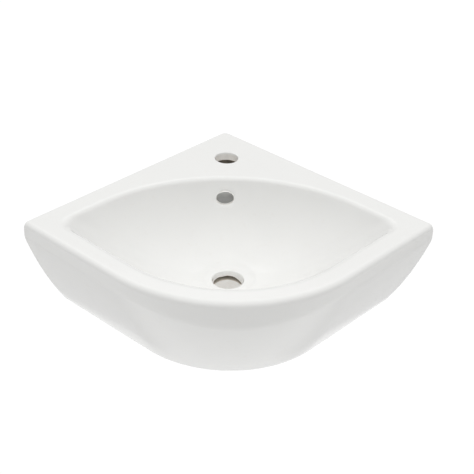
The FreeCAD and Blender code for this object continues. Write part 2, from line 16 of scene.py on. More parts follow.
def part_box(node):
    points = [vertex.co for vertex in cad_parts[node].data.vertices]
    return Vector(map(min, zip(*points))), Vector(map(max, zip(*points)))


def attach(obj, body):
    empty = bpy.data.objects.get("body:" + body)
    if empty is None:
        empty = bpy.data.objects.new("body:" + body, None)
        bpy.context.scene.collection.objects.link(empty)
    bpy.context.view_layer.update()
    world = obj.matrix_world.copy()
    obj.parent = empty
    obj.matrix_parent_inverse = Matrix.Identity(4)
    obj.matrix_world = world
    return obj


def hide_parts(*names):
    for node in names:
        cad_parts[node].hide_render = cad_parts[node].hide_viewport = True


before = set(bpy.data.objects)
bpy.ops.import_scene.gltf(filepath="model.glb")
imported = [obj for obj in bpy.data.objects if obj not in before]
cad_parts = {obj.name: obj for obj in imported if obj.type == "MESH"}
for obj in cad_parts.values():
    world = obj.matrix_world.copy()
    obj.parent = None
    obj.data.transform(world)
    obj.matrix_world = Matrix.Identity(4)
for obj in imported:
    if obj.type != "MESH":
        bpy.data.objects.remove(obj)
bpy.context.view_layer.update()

# %% [markdown]
# ## Camera
# The basin is seen from the front and from well above the rim, through a long lens, as in a
# catalogue. The camera comes first, because every later choice is judged through it. Its turn is
# built from three angles: how far it looks to the right, how far down, and a slight roll.

# %% Camera
MM = 0.001                     # shapes below are in millimetres, Blender's meshes in metres
CAMERA_PLACE = (-59.0, -1394.9, 970.3)
LOOK_RIGHT = math.radians(2.88)
LOOK_DOWN = math.radians(31.59)
ROLL = math.radians(1.82)
LENS = 88.3                    # on a sensor 36 mm wide

camera = bpy.data.objects.new("camera", bpy.data.cameras.new("camera"))
bpy.context.scene.collection.objects.link(camera)
camera.data.sensor_width = 36.0
camera.data.lens = LENS
camera.data.clip_start = 0.05
ahead = Vector((
    math.sin(LOOK_RIGHT) * math.cos(LOOK_DOWN),
    math.cos(LOOK_RIGHT) * math.cos(LOOK_DOWN),
    -math.sin(LOOK_DOWN),
))
level_right = Vector((math.cos(LOOK_RIGHT), -math.sin(LOOK_RIGHT), 0))
level_up = level_right.cross(ahead)
right = level_right * math.cos(ROLL) + level_up * math.sin(ROLL)
up = right.cross(ahead)
turn = Matrix((right, up, -ahead)).transposed().to_4x4()
camera.matrix_world = Matrix.Translation(Vector(CAMERA_PLACE) * MM) @ turn
bpy.context.scene.camera = camera
print("camera looks along", [round(part, 3) for part in ahead])

# %% [markdown]
# ## Plan of the basin
# Seen from above, the basin is a quarter of a disc stretched to a square corner: a front arc round
# the waste, two straight flanks, two tips, and two walls that meet in the corner of the room. A
# place in the right half is easiest to give by two distances from the waste axis, one square to the
# flank and one square to the wall. The left half is its mirror image. Every level of the outer skin
# uses this one outline with other distances, so the points of neighbouring levels pair up.

# %% Measures in plan
WALL_SIDE = 400.0              # from the room's corner to the flank, along each wall
basin_low, basin_high = [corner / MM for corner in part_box("ceramic_basin")]
RIM_Z = round(basin_high.z, 1)
BASE_Z = round(basin_low.z, 1)
FRONT = round(-basin_low.y, 2)            # waste axis to the front and to the flanks
WALL = WALL_SIDE - FRONT                  # waste axis to each wall
RIGHT_ANGLE = math.pi / 2
HALF_CORNER = math.pi / 4
SQUARE = math.sqrt(2)


def plan(to_flank, to_wall):
    """Place in plan from the distances along the right flank's normal and the right wall's."""
    return ((to_flank + to_wall) / SQUARE, (to_wall - to_flank) / SQUARE)


def spread(start, end, spans):
    """Evenly spaced values from start, without the end itself."""
    return [start + (end - start) * step / spans for step in range(spans)]


def whole(half):
    """Closed loop from its right half, which starts and ends on the centre line."""
    return half + [(-x, y) for x, y in reversed(half[1:-1])]


print("waste axis", FRONT, "mm from the flanks and", WALL, "mm from the walls")

# %% [markdown]
# The outline is a list of points, made piece by piece: the front arc, the flank, the tip's rounding,
# the wall and the rounding in the room's corner. Each of these always has the same number of points,
# so any two outlines can be joined point by point.

# %% Outline
FRONT_SPANS, FLANK_SPANS, TIP_SPANS, WALL_SPANS, CORNER_SPANS = 28, 24, 4, 40, 6
TIP_ROUND, CORNER_ROUND = 2.0, 8.0        # roundings at the tips and in the room's corner


def outline(flank, wall, tip=TIP_ROUND, corner=CORNER_ROUND, proud=None):
    """Basin's outline in plan, from the front centre round the right flank and wall.

    proud is how far each point of the front arc stands outside it.
    """
    front = [flank + more for more in proud or [0.0] * FRONT_SPANS]
    half = [(reach * math.sin(angle), -reach * math.cos(angle))
            for reach, angle in zip(front, spread(0, HALF_CORNER, FRONT_SPANS))]
    half += [plan(flank, along) for along in spread(0, wall - tip, FLANK_SPANS)]
    half += [plan(flank - tip + tip * math.cos(angle), wall - tip + tip * math.sin(angle))
             for angle in spread(0, RIGHT_ANGLE, TIP_SPANS)]
    half += [plan(along, wall) for along in spread(flank - tip, corner - wall, WALL_SPANS)]
    half += [plan(corner - wall + corner * math.cos(angle), wall - corner + corner * math.sin(angle))
             for angle in spread(RIGHT_ANGLE, RIGHT_ANGLE + HALF_CORNER, CORNER_SPANS)]
    half.append((0.0, (wall - corner) * SQUARE + corner))
    return whole(half)


print("outline of", len(outline(FRONT, WALL)), "points")

# %% [markdown]
# ## A mesh that grows loop by loop
# Slip-cast ware is a skin of nearly even thickness, so it can be built as one: closed loops of
# points, joined by quads. A Solidify modifier would thicken a single skin, but here the back has
# forms of its own, so front and back are both built. The loops are kept in one bmesh. Each vertex
# also carries a number, "glaze", which says how much glaze lies there. The material reads it later
# to tell shiny glaze from the bare biscuit of the faces that nobody sees.

# %% Loops and skins
shell = bmesh.new()
glaze_layer = shell.verts.layers.float.new("glaze")


def add_loop(spots, height, glaze=1.0):
    """Vertices of one closed loop. height and glaze are numbers, or one number for each spot."""
    count = len(spots)
    heights = height if isinstance(height, list) else [height] * count
    glazes = glaze if isinstance(glaze, list) else [glaze] * count
    loop = []
    for (x, y), z, amount in zip(spots, heights, glazes):
        vert = shell.verts.new((x, y, z))
        vert[glaze_layer] = amount
        loop.append(vert)
    return loop


def join_loops(loops):
    """Quads between each loop and the next."""
    for first, second in zip(loops, loops[1:]):
        count = len(first)
        for i in range(count):
            j = (i + 1) % count
            shell.faces.new((first[i], first[j], second[j], second[i]))


def add_places(places, glaze):
    """Vertices of one closed loop from places with three coordinates."""
    return add_loop([place[:2] for place in places], [place[2] for place in places], glaze)


print("started the basin's skin")

# %% [markdown]
# ## Flat sheets and openings
# The deck is flat, but its edge, the bowl's edge and the tap hole have nothing to do with each
# other. A constrained Delaunay triangulation fills the space between such loops. It fills the holes
# as well, so the triangles are sorted from the outside in: behind each border line that is crossed,
# filled turns to empty or back.

# %% Fill between loops
def ring_edges(loop):
    return [(loop[i - 1], loop[i]) for i in range(len(loop))]


def between_borders(triangles, borders):
    """Triangles between the borders. Each border line that is crossed on the way in changes sides."""
    owners = {}
    for number, triangle in enumerate(triangles):
        for i in range(3):
            owners.setdefault(frozenset((triangle[i - 1], triangle[i])), []).append(number)
    is_inside = {}
    waiting = [(numbers[0], side in borders) for side, numbers in owners.items() if len(numbers) == 1]
    while waiting:
        number, inside = waiting.pop()
        if number in is_inside:
            continue
        is_inside[number] = inside
        for i in range(3):
            side = frozenset((triangles[number][i - 1], triangles[number][i]))
            waiting += [(other, inside != (side in borders)) for other in owners[side] if other != number]
    return [triangle for number, triangle in enumerate(triangles) if is_inside[number]]


def fill_between(edges, flatten):
    """Triangles inside the outermost border and outside the others."""
    verts = list(dict.fromkeys(vert for edge in edges for vert in edge))
    number = {vert: i for i, vert in enumerate(verts)}
    flat = [Vector(flatten(vert.co)) for vert in verts]
    pairs = [(number[a], number[b]) for a, b in edges]
    _, _, triangles, origins, _, _ = geometry.delaunay_2d_cdt(flat, pairs, [], 0, 1e-5)
    triangles = [[origins[i][0] for i in triangle] for triangle in triangles]
    for triangle in between_borders(triangles, {frozenset(pair) for pair in pairs}):
        shell.faces.new([verts[i] for i in triangle])


def flat_plan(place):
    """Place on a level sheet."""
    return (place.x, place.y)


print("loops can be filled")

# %% [markdown]
# The same tool cuts an opening in a wall that is already there: the faces round it are taken out,
# and the space between their border and the opening's edge is filled again. The wall may be curved.
# It is flattened for the work, and every new point is lifted back onto it. A Boolean would cut the
# hole too, but this way the edge is one clean loop that a rounding can start from.

# %% Punch an opening
CLOSE = 0.05                   # how near to a surface a vertex counts as on it


def punch(hole, flatten, lift, margin, glaze):
    """Opens a wall along a closed outline and returns the vertices of the opening's edge.

    flatten gives a point of the wall as two lengths, or None off the wall, and lift undoes it.
    """
    lows = [min(spot[i] for spot in hole) - margin for i in (0, 1)]
    highs = [max(spot[i] for spot in hole) + margin for i in (0, 1)]
    opened = set()
    for face in shell.faces:
        spots = [flatten(vert.co) for vert in face.verts]
        if None in spots:
            continue
        if all(max(spot[i] for spot in spots) > lows[i] and min(spot[i] for spot in spots) < highs[i]
               for i in (0, 1)):
            opened.add(face)
    border = [tuple(edge.verts) for edge in shell.edges
              if sum(face in opened for face in edge.link_faces) == 1]
    bmesh.ops.delete(shell, geom=list(opened), context="FACES")
    edge_loop = add_places([lift(*spot) for spot in hole], glaze)
    fill_between(border + ring_edges(edge_loop), flatten)
    return edge_loop


print("points within", CLOSE, "mm of a wall count as on it")

# %% [markdown]
# ## Outer skin
# The rim is an upright band with a generous rounding on top. Below it the skirt bends inwards and
# leans towards the waste, with a slight bulge that keeps a large cast wall from looking hollow. At
# the middle of the front the band hangs lower, like an apron, and the skirt below leans more to end
# on the same base line. This could be sculpted, but formulas of the height keep every size exact:
# they say how far each level is brought in.

# %% Section of skirt, band and rim
EDGE_ROUND = 9.0               # outer edge of the rim
WALL_EDGE_ROUND = 2.0
FOOT_ROUND = 2.0
BAND_DEPTH = 18.0
BEND_Z = RIM_Z - BAND_DEPTH
BEND_RADIUS = 30.0
LEAN = math.radians(19.5)
SKIRT_RADIUS = 650.0
APRON = 16.0                   # the band is this much deeper at the middle of the front
TIP_FOOT_GROWTH = 5.0          # what the tips' rounding gains at the base
TIP_BLEND = 40.0               # and the height over which it gains that
FINE_Z = 100.0                 # above this height the levels lie closer together
GUARD = 1.5                    # narrow strip that keeps a rounding's shading off the flat beside it


def apron_at(angle):
    """How much deeper the band is at one angle of the front arc."""
    return APRON * math.cos(2 * angle) ** 2


def skirt_inset(z, apron=0.0):
    """How far the skirt lies inside the band at one height."""
    steeper = (BEND_Z - BASE_Z) / (BEND_Z - apron - BASE_Z)
    drop = (BEND_Z - apron - z) * steeper
    if drop <= 0:
        return 0.0
    if drop <= BEND_RADIUS * math.sin(LEAN):
        return BEND_RADIUS - math.sqrt(BEND_RADIUS ** 2 - drop ** 2)
    further = SKIRT_RADIUS - BEND_RADIUS
    centre_inset = BEND_RADIUS + further * math.cos(LEAN)
    centre_drop = -further * math.sin(LEAN)
    return centre_inset - math.sqrt(SKIRT_RADIUS ** 2 - (drop - centre_drop) ** 2)


def rounding(depth, radius):
    """Inset of a quarter round, depth below its top."""
    if depth >= radius:
        return 0.0
    return radius - math.sqrt(radius ** 2 - (radius - depth) ** 2)


def foot_inset(z):
    return rounding(z - BASE_Z, FOOT_ROUND)


def tip_round(z):
    """Plan rounding of the tips, which grows towards the base."""
    near_base = max(0.0, 1 - (z - BASE_Z) / TIP_BLEND)
    return TIP_ROUND + TIP_FOOT_GROWTH * near_base ** 2


print("skirt ends", round(skirt_inset(BASE_Z), 1), "mm inside the band")

# %% [markdown]
# Every level is now one call of the outline. The levels lie closest together where the section
# turns: at the base, below the band and on the rim's rounding. Along the front each point stands
# proud by what the apron adds. The wall faces are plain planes with a small rounding at the top. No
# glaze goes on them or under the foot, since nobody sees them.

# %% Outer skin
half_count = FRONT_SPANS + FLANK_SPANS + TIP_SPANS + WALL_SPANS + CORNER_SPANS + 1
is_at_wall = [step > FRONT_SPANS + FLANK_SPANS + TIP_SPANS / 2 for step in range(half_count)]
is_at_wall += list(reversed(is_at_wall[1:-1]))

skirt_levels = [BASE_Z + FOOT_ROUND * (1 - math.cos(angle)) for angle in spread(0, RIGHT_ANGLE, 4)]
skirt_levels += spread(BASE_Z + FOOT_ROUND, FINE_Z, 17) + spread(FINE_Z, BEND_Z, 12)
skirt_levels += spread(BEND_Z, RIM_Z - EDGE_ROUND, 2)
skirt_levels += [RIM_Z - EDGE_ROUND * (1 - math.sin(angle)) for angle in spread(0, RIGHT_ANGLE, 12)]
skirt_levels.append(RIM_Z)
outer_loops = []
for z in skirt_levels:
    flank = FRONT - skirt_inset(z) - foot_inset(z) - rounding(RIM_Z - z, EDGE_ROUND)
    wall = WALL - foot_inset(z) - rounding(RIM_Z - z, WALL_EDGE_ROUND)
    glazes = [0.0 if at_wall and z < RIM_Z - EDGE_ROUND / 2 else 1.0 for at_wall in is_at_wall]
    glazes = [amount if z > BASE_Z + FOOT_ROUND / 2 else 0.0 for amount in glazes]
    proud = [skirt_inset(z) - skirt_inset(z, apron_at(angle))
             for angle in spread(0, HALF_CORNER, FRONT_SPANS)]
    outer_loops.append(add_loop(outline(flank, wall, tip=tip_round(z), proud=proud), z, glazes))
deck_edge = add_loop(outline(FRONT - EDGE_ROUND - GUARD, WALL - WALL_EDGE_ROUND - GUARD), RIM_Z)
outer_loops.append(deck_edge)
join_loops(outer_loops)
print("outer skin of", len(outer_loops), "loops")

# %% [markdown]
# ## The bowl's form
# The bowl is a rounded triangle at the rim and a circle at the waste. One formula gives its edge in
# plan as a distance from the waste axis, another the depth at a share of that distance. Thickened
# by a growth, the same two formulas give the underside of the bowl, so the wall stays even. Angles
# start at the front. The edge runs through an arc, a straight line, the side corner's arc, another
# straight line and the arc in front of the tap.

# %% Edge of the bowl
RIM_WIDTH = 34.0               # flank or front to the bowl's edge
LEDGE_WIDTH = 32.0             # wall to the bowl's edge
BACK_REACH = 151.0             # room's corner to the bowl's edge, on the centre line
BOWL_ROUND, DEEP_ROUND = 28.0, 95.0       # plan rounding of the side corners, at the rim and deep down
back_y = WALL * SQUARE - BACK_REACH
back_round = (BACK_REACH / SQUARE - LEDGE_WIDTH) / (1 - math.sqrt(0.5))
back_centre = back_y - back_round


def bowl_reach(angle, growth, corner_round):
    """Distance in plan from the waste axis to the bowl's edge."""
    angle = abs(math.remainder(angle, 2 * math.pi))
    front = FRONT - RIM_WIDTH + growth
    side = WALL - LEDGE_WIDTH + growth
    turn = corner_round + growth
    past = angle - HALF_CORNER
    grown = back_round + growth
    if past <= 0:
        return front
    if past <= math.atan2(side - turn, front):
        return front / math.cos(past)
    if past <= math.atan2(side, front - turn):
        along = (front - turn) * math.cos(past) + (side - turn) * math.sin(past)
        square = (front - turn) ** 2 + (side - turn) ** 2
        return along + math.sqrt(along ** 2 - square + turn ** 2)
    if angle <= math.atan2(grown / SQUARE, -(back_centre + grown / SQUARE)):
        return side / math.sin(past)
    along = -math.cos(angle) * back_centre
    return along + math.sqrt(grown ** 2 - back_centre ** 2 + along ** 2)


print("bowl's edge", round(bowl_reach(0, 0, BOWL_ROUND)), "mm from the waste axis at the front")

# %% [markdown]
# From the edge to the floor's small circle the bowl gets deeper by a power curve, which is steep at
# the edge and levels out, plus a slight even fall that drains it. On the way down the side corners
# grow rounder. Both relations are also needed the other way round. Halving an interval again and
# again finds the answer without any algebra.

# %% Depth of the bowl
BOWL_DEPTH = 108.0
FULLNESS = 2.1                 # power of the curve
FLOOR_FALL = 0.1               # share of the depth that the even fall takes
FLOOR_RADIUS = 28.0


def bowl_depth_at(share, growth=0.0):
    """Depth below the rim where this share of the bowl's width is left."""
    curved = 1 - max(share, 0.0) ** FULLNESS
    return (BOWL_DEPTH + growth) * ((1 - FLOOR_FALL) * curved + FLOOR_FALL * (1 - share))


def share_at(depth, growth=0.0):
    """Undoes bowl_depth_at by halving."""
    low, high = 0.0, 1.05
    while high - low > 1e-7:
        share = (low + high) / 2
        if bowl_depth_at(share, growth) > depth:
            low = share
        else:
            high = share
    return low


def bowl_radius(angle, share, growth=0.0):
    """Distance from the waste axis to the bowl's surface."""
    inner = FLOOR_RADIUS + growth
    corner_round = DEEP_ROUND + (BOWL_ROUND - DEEP_ROUND) * min(share, 1.0)
    return inner + (bowl_reach(angle, growth, corner_round) - inner) * share


def share_of(radius, angle):
    """Undoes bowl_radius by halving."""
    low, high = 0.0, 1.0
    while high - low > 1e-6:
        share = (low + high) / 2
        if bowl_radius(angle, share) < radius:
            low = share
        else:
            high = share
    return low


print("half way out the bowl is", round(bowl_depth_at(0.5), 1), "mm deep")

# %% [markdown]
# The points of a loop should lie closest together where the edge turns fastest. So the edge is
# walked in tiny steps that add up a weight, from their length and from how much they turn, and a
# point is set each time the same weight has been gained.

# %% Angles of the bowl's points
FINE_STEPS = 3000
POINT_GAP, POINT_BEND = 4.0, 3.0          # a straight of so many mm weighs as a turn of so many degrees


def even_angles(spans, growth, end=math.pi):
    """Angles from the front to the end, close together where the edge is long or turns fast."""
    fine = [end * step / FINE_STEPS for step in range(FINE_STEPS + 1)]
    radii = [bowl_reach(angle, growth, BOWL_ROUND) for angle in fine]
    spots = [Vector((r * math.sin(a), -r * math.cos(a))) for r, a in zip(radii, fine)]
    sides = [b - a for a, b in zip(spots, spots[1:])]
    weight = [0.0]
    for i, side in enumerate(sides):
        bend = abs(side.angle_signed(sides[i - 1])) if i else 0.0
        weight.append(weight[-1] + side.length / POINT_GAP + math.degrees(bend) / POINT_BEND)
    picked = []
    i = 0
    for step in range(spans):
        while weight[i] < weight[-1] * step / spans:
            i += 1
        picked.append(fine[i])
    return picked + [end]


half_angles = even_angles(130, 0.0)
bowl_angles = half_angles + [-angle for angle in reversed(half_angles[1:-1])]
print(len(bowl_angles), "points, the farthest",
      round(max(bowl_reach(angle, 0, BOWL_ROUND) for angle in bowl_angles)), "mm from the waste axis")

# %% [markdown]
# ## Inside of the bowl
# The glaze pulls every edge into a soft roll. A Bevel modifier would give it the same radius all
# round, but the bowl's wall is steep in some places and flat in others. So at the lip the roll is a
# quadratic Bezier curve in each upright section: it leaves the deck level and meets the bowl's wall
# along its slope.

# %% Lip
LIP_DEPTH = 5.5                # the roll ends this far below the rim
LIP_SPANS = 9


def lip_section(angle):
    """Control points of the lip's roll as (radius, height): on the deck, at the corner, on the wall."""
    share = share_at(LIP_DEPTH)
    ahead_share = share + 0.001
    radius = bowl_radius(angle, share)
    run = (bowl_radius(angle, ahead_share) - radius) * LIP_DEPTH
    run /= bowl_depth_at(share) - bowl_depth_at(ahead_share)
    corner = radius + run
    return (corner + math.hypot(run, LIP_DEPTH), RIM_Z), (corner, RIM_Z), (radius, RIM_Z - LIP_DEPTH)


def ring(radii, heights, glaze=1.0):
    """Loop round the waste axis with a radius for each of the bowl's angles."""
    spots = [(radius * math.sin(angle), -radius * math.cos(angle))
             for radius, angle in zip(radii, bowl_angles)]
    return add_loop(spots, heights, glaze)


def round_ring(radius, height, glaze=1.0):
    """Level circle round the waste axis."""
    return ring([radius] * len(bowl_angles), height, glaze)


sections = [lip_section(angle) for angle in bowl_angles]
bowl_edge = ring([section[0][0] + GUARD for section in sections], RIM_Z)
bowl_loops = [bowl_edge]
for step in range(LIP_SPANS + 1):
    t = step / LIP_SPANS
    weights = ((1 - t) ** 2, 2 * t * (1 - t), t ** 2)
    radii = [sum(w * knot[0] for w, knot in zip(weights, section)) for section in sections]
    heights = [sum(w * knot[1] for w, knot in zip(weights, section)) for section in sections]
    bowl_loops.append(ring(radii, heights))
print("lip of", len(bowl_loops), "loops")

# %% [markdown]
# Below the lip come the loops of the formula, as far as the shallow recess that the waste's flange
# sits in. The glaze fills the recess's step, so that it falls in one smooth wave.

# %% Wall of the bowl and seat of the waste
BOWL_SPANS = 40
SEAT_OUTER, SEAT_INNER = 42.0, 29.0       # the recess falls between these radii
SEAT_SPANS = 10
SEAT_DEPTH = 1.5
SEAT_Z = RIM_Z - BOWL_DEPTH
BORE_TOP_Z = SEAT_Z - SEAT_DEPTH

lip_share = share_at(LIP_DEPTH)
last_shares = [share_of(SEAT_OUTER, angle) for angle in bowl_angles]
for part in spread(0, 1, BOWL_SPANS)[1:]:
    shares = [lip_share + (last - lip_share) * part for last in last_shares]
    radii = [bowl_radius(angle, share) for angle, share in zip(bowl_angles, shares)]
    bowl_loops.append(ring(radii, [RIM_Z - bowl_depth_at(share) for share in shares]))
for step in range(SEAT_SPANS + 1):
    fall = step / SEAT_SPANS
    wave = fall ** 2 * (3 - 2 * fall)
    radius = SEAT_OUTER + (SEAT_INNER - SEAT_OUTER) * fall
    floor = [RIM_Z - bowl_depth_at(share_of(radius, angle)) for angle in bowl_angles]
    bowl_loops.append(ring([radius] * len(floor), [z * (1 - wave) + BORE_TOP_Z * wave for z in floor]))
print("bowl of", len(bowl_loops), "loops, recess at", BORE_TOP_Z, "mm")

# %% [markdown]
# The outlet's bore is cut through the floor and the thick boss below it. Its upper edge is rounded
# by the glaze, which gets thinner on the way down and ends at the boss's bare foot.

# %% Bore and foot of the boss
BORE = 23.0                    # radius
BORE_ROUND = 1.8
BORE_GLAZE = ((34.0, 1.0), (18.0, 0.75), (12.0, 0.72), (7.0, 0.72), (4.0, 0.5))   # height, glaze
BOSS = 40.0                    # radius
BOSS_ROUND = 2.0

bowl_loops.append(round_ring(BORE + BORE_ROUND + GUARD, BORE_TOP_Z))
for angle in spread(0, RIGHT_ANGLE, 5) + [RIGHT_ANGLE]:
    bowl_loops.append(round_ring(BORE + BORE_ROUND * (1 - math.sin(angle)),
                                 BORE_TOP_Z - BORE_ROUND * (1 - math.cos(angle))))
for z, glaze in BORE_GLAZE:
    bowl_loops.append(round_ring(BORE, z, glaze))
for angle in spread(0, RIGHT_ANGLE, 3) + [RIGHT_ANGLE]:
    bowl_loops.append(round_ring(BORE + BOSS_ROUND * (1 - math.cos(angle)),
                                 BOSS_ROUND * (1 - math.sin(angle)), 0.0))
bowl_loops.append(round_ring(BORE + BOSS_ROUND + GUARD, 0.0, 0.0))
join_loops(bowl_loops)
print("bore of", 2 * BORE, "mm, bowl and bore of", len(bowl_loops), "loops")

# %% [markdown]
# ## Underside
# From below, the basin is a hollow with the bowl hanging in it. The hollow's wall is the outer skin
# once more, brought in by the wall's thickness, with a fillet under the deck. Its deep corner gets
# painted shade, darker towards the back and the top. It is kept in the glaze attribute too, as a negative
# number.

# %% Hollow behind the skirt
SKIRT_WALL, FLANGE_WALL, DECK_WALL = 9.0, 10.0, 13.5
DECK_UNDER_Z = RIM_Z - DECK_WALL
INNER_FILLET = 5.0
SHADED_FROM_Y, SHADED_FROM_Z = 190.0, 50.0            # painted shade starts behind and above these
SHADE_RUN, SHADE_RISE = 40.0, 60.0          # and is darkest after so much more

hollow_levels = [BASE_Z + FOOT_ROUND * (1 - math.cos(angle)) for angle in spread(0, RIGHT_ANGLE, 3)]
hollow_levels += spread(BASE_Z + FOOT_ROUND, FINE_Z, 12) + spread(FINE_Z, DECK_UNDER_Z - INNER_FILLET, 9)
hollow_levels += [DECK_UNDER_Z - INNER_FILLET * (1 - math.sin(angle)) for angle in spread(0, RIGHT_ANGLE, 4)]
hollow_levels.append(DECK_UNDER_Z)


def painted_shade_at(y, z):
    """Negative glaze, which the material shows as painted shade: a darker biscuit in the deep corner."""
    back = min(max((y - SHADED_FROM_Y) / SHADE_RUN, 0.0), 1.0)
    high = min(max((z - SHADED_FROM_Z) / SHADE_RISE, 0.0), 1.0)
    return -back * high


hollow_loops = []
for z in hollow_levels:
    fillet = rounding(DECK_UNDER_Z - z, INNER_FILLET)
    flank = FRONT - skirt_inset(z) - SKIRT_WALL + foot_inset(z) - fillet
    wall = WALL - FLANGE_WALL + foot_inset(z) - fillet
    spots = outline(flank, wall, tip=4.0, corner=6.0)
    # The deep corner's negative glaze is painted shade.
    hollow_loops.append(add_loop(spots, z, [painted_shade_at(y, z) for x, y in spots]))
join_loops([outer_loops[0], *hollow_loops])
print("hollow of", len(hollow_loops), "loops")

# %% [markdown]
# The bowl's back carries a square casing: the overflow's duct is cast into it. So each level of the
# bowl's back is its grown outline as far as the casing's side, then the side, then the casing's
# back. Where there is no casing, the round outline goes on instead, with the same number of points.

# %% One level of the bowl's back
BOWL_WALL = 9.0
DUCT_DEPTH, DUCT_WALL = 12.0, 8.0
CASING_GROWTH = BOWL_WALL + DUCT_DEPTH + DUCT_WALL
CASING_HALF = 28.0             # half of the casing's width
SKIN_SPANS, SIDE_SPANS, BACK_SPANS = 96, 6, 8
skin_angles = even_angles(SKIN_SPANS, BOWL_WALL)


def casing_y(x, radius_at):
    """How far back a surface round the waste axis is, at one distance from the centre line."""
    y = radius_at(math.pi)
    for _ in range(8):
        y = math.sqrt(radius_at(math.pi - math.atan2(x, y)) ** 2 - x ** 2)
    return y


def under_loop(z, skin_radius, casing=True):
    """One level of the underside. skin_radius gives the bowl's or the boss's radius by angle."""
    side_y = casing_y(CASING_HALF, skin_radius)
    end = math.pi - math.atan2(CASING_HALF, side_y)
    angles = [angle * end / math.pi for angle in skin_angles]
    half = [(skin_radius(angle) * math.sin(angle), -skin_radius(angle) * math.cos(angle))
            for angle in angles]

    def casing_radius(angle):
        if casing:
            return bowl_radius(angle, share_at(RIM_Z - z, CASING_GROWTH), CASING_GROWTH)
        return skin_radius(angle)

    if casing:
        far_y = casing_y(CASING_HALF, casing_radius)
        half += [(CASING_HALF, y) for y in spread(side_y, far_y, SIDE_SPANS)[1:]]
        half += [(x, casing_y(x, casing_radius)) for x in spread(CASING_HALF, 0, BACK_SPANS)]
    else:
        count = SIDE_SPANS + BACK_SPANS
        arc = [end + (math.pi - end) * step / count for step in range(1, count)]
        half += [(skin_radius(angle) * math.sin(angle), -skin_radius(angle) * math.cos(angle))
                 for angle in arc]
    half.append((0.0, casing_radius(math.pi)))
    return add_loop(whole(half), z, 0.0)


print("casing", 2 * CASING_HALF, "mm wide")

# %% [markdown]
# The levels follow the bowl's back down. Near the waste a short list of radii and heights leads from
# the bowl over to the round boss, which the casing runs into. The boss's foot closes the skin: it is
# filled as far as the bore.

# %% Back of the bowl and boss
LOWEST_SHARE = 0.06            # the bowl's back ends where this share of its width is left
BOSS_BLEND = ((46.0, 32.6), (43.0, 31.9), (41.2, 30.8), (40.3, 29.2), (40.0, 27.0),   # radius, height
              (40.0, 22.0), (40.0, 17.0), (40.0, 14.0), (40.0, 12.8), (40.0, 12.2))
BOSS_LEVELS = ((40.0, 11.2), (40.0, 7.0))

first_share = share_at(DECK_WALL, BOWL_WALL)
under_loops = []
for share in spread(first_share, LOWEST_SHARE, 24):
    z = RIM_Z - bowl_depth_at(share, BOWL_WALL)
    under_loops.append(under_loop(z, lambda angle: bowl_radius(angle, share, BOWL_WALL)))
for radius, z in BOSS_BLEND:
    under_loops.append(under_loop(z, lambda angle: radius))
for radius, z in BOSS_LEVELS:
    under_loops.append(under_loop(z, lambda angle: radius, casing=False))
for angle in spread(0, RIGHT_ANGLE, 3) + [RIGHT_ANGLE]:
    radius = BOSS - BOSS_ROUND * (1 - math.cos(angle))
    z = BOSS_ROUND * (1 - math.sin(angle))
    under_loops.append(under_loop(z, lambda angle: radius, casing=False))
radius = BOSS - BOSS_ROUND - GUARD
under_loops.append(under_loop(0.0, lambda angle: radius, casing=False))
join_loops(under_loops)
fill_between(ring_edges(under_loops[-1]) + ring_edges(bowl_loops[-1]), flat_plan)
print("underside of", len(under_loops), "loops of", len(under_loops[0]), "points")

# %% [markdown]
# ## Deck and tap hole
# The tap hole is cut in the wet clay, so its edge is a small roll that the glaze thins over. With
# its loops in place, the deck can be filled from the rim to the bowl and the tap hole, and its
# underside from the skirt to the bowl's outer skin.

# %% Tap hole and the two sides of the deck
TAP_REACH = 88.0               # room's corner to the tap hole's centre
TAP_Y = WALL * SQUARE - TAP_REACH
TAP_RADIUS = 17.5
TAP_ROUND = 1.5
TAP_CHAMFER = 1.0              # at the lower edge
TAP_GLAZE = 0.7                # on the hole's wall
tap_angles = spread(0, 2 * math.pi, 72)


def tap_ring(radius, z, glaze):
    """Level circle round the tap hole's axis."""
    return add_loop([(radius * math.sin(angle), TAP_Y - radius * math.cos(angle)) for angle in tap_angles],
                    z, glaze)


tap_loops = [tap_ring(TAP_RADIUS + TAP_ROUND + GUARD, RIM_Z, 1.0)]
for angle in spread(0, RIGHT_ANGLE, 5) + [RIGHT_ANGLE]:
    tap_loops.append(tap_ring(TAP_RADIUS + TAP_ROUND * (1 - math.sin(angle)),
                              RIM_Z - TAP_ROUND * (1 - math.cos(angle)), 1.0))
for z in (RIM_Z - 4.0, DECK_UNDER_Z + 5.0, DECK_UNDER_Z + TAP_CHAMFER):
    tap_loops.append(tap_ring(TAP_RADIUS, z, TAP_GLAZE))
tap_loops.append(tap_ring(TAP_RADIUS + TAP_CHAMFER, DECK_UNDER_Z, 0.0))
tap_loops.append(tap_ring(TAP_RADIUS + TAP_CHAMFER + GUARD, DECK_UNDER_Z, 0.0))
join_loops(tap_loops)
fill_between(ring_edges(deck_edge) + ring_edges(bowl_edge) + ring_edges(tap_loops[0]), flat_plan)
fill_between(ring_edges(hollow_loops[-1]) + ring_edges(under_loops[0]) + ring_edges(tap_loops[-1]),
             flat_plan)
print("tap hole of", 2 * TAP_RADIUS, "mm at y =", round(TAP_Y, 1))

# %% [markdown]
# ## Overflow
# Water that rises to the oval in the bowl's back runs down a duct inside the casting and enters the
# waste's bore through a slot in its far side. The duct is one tube of loops: from the slot, along a
# chamber under the bowl's floor, up behind the bowl and out through the oval. Its loops all start
# on the same side, so that the tube doesn't twist. The slot was opened by hand with a knife, which
# left two uneven arches along its top and a foot that hangs down towards its ends. Each arch and the
# foot is a parabola of the distance from the middle.

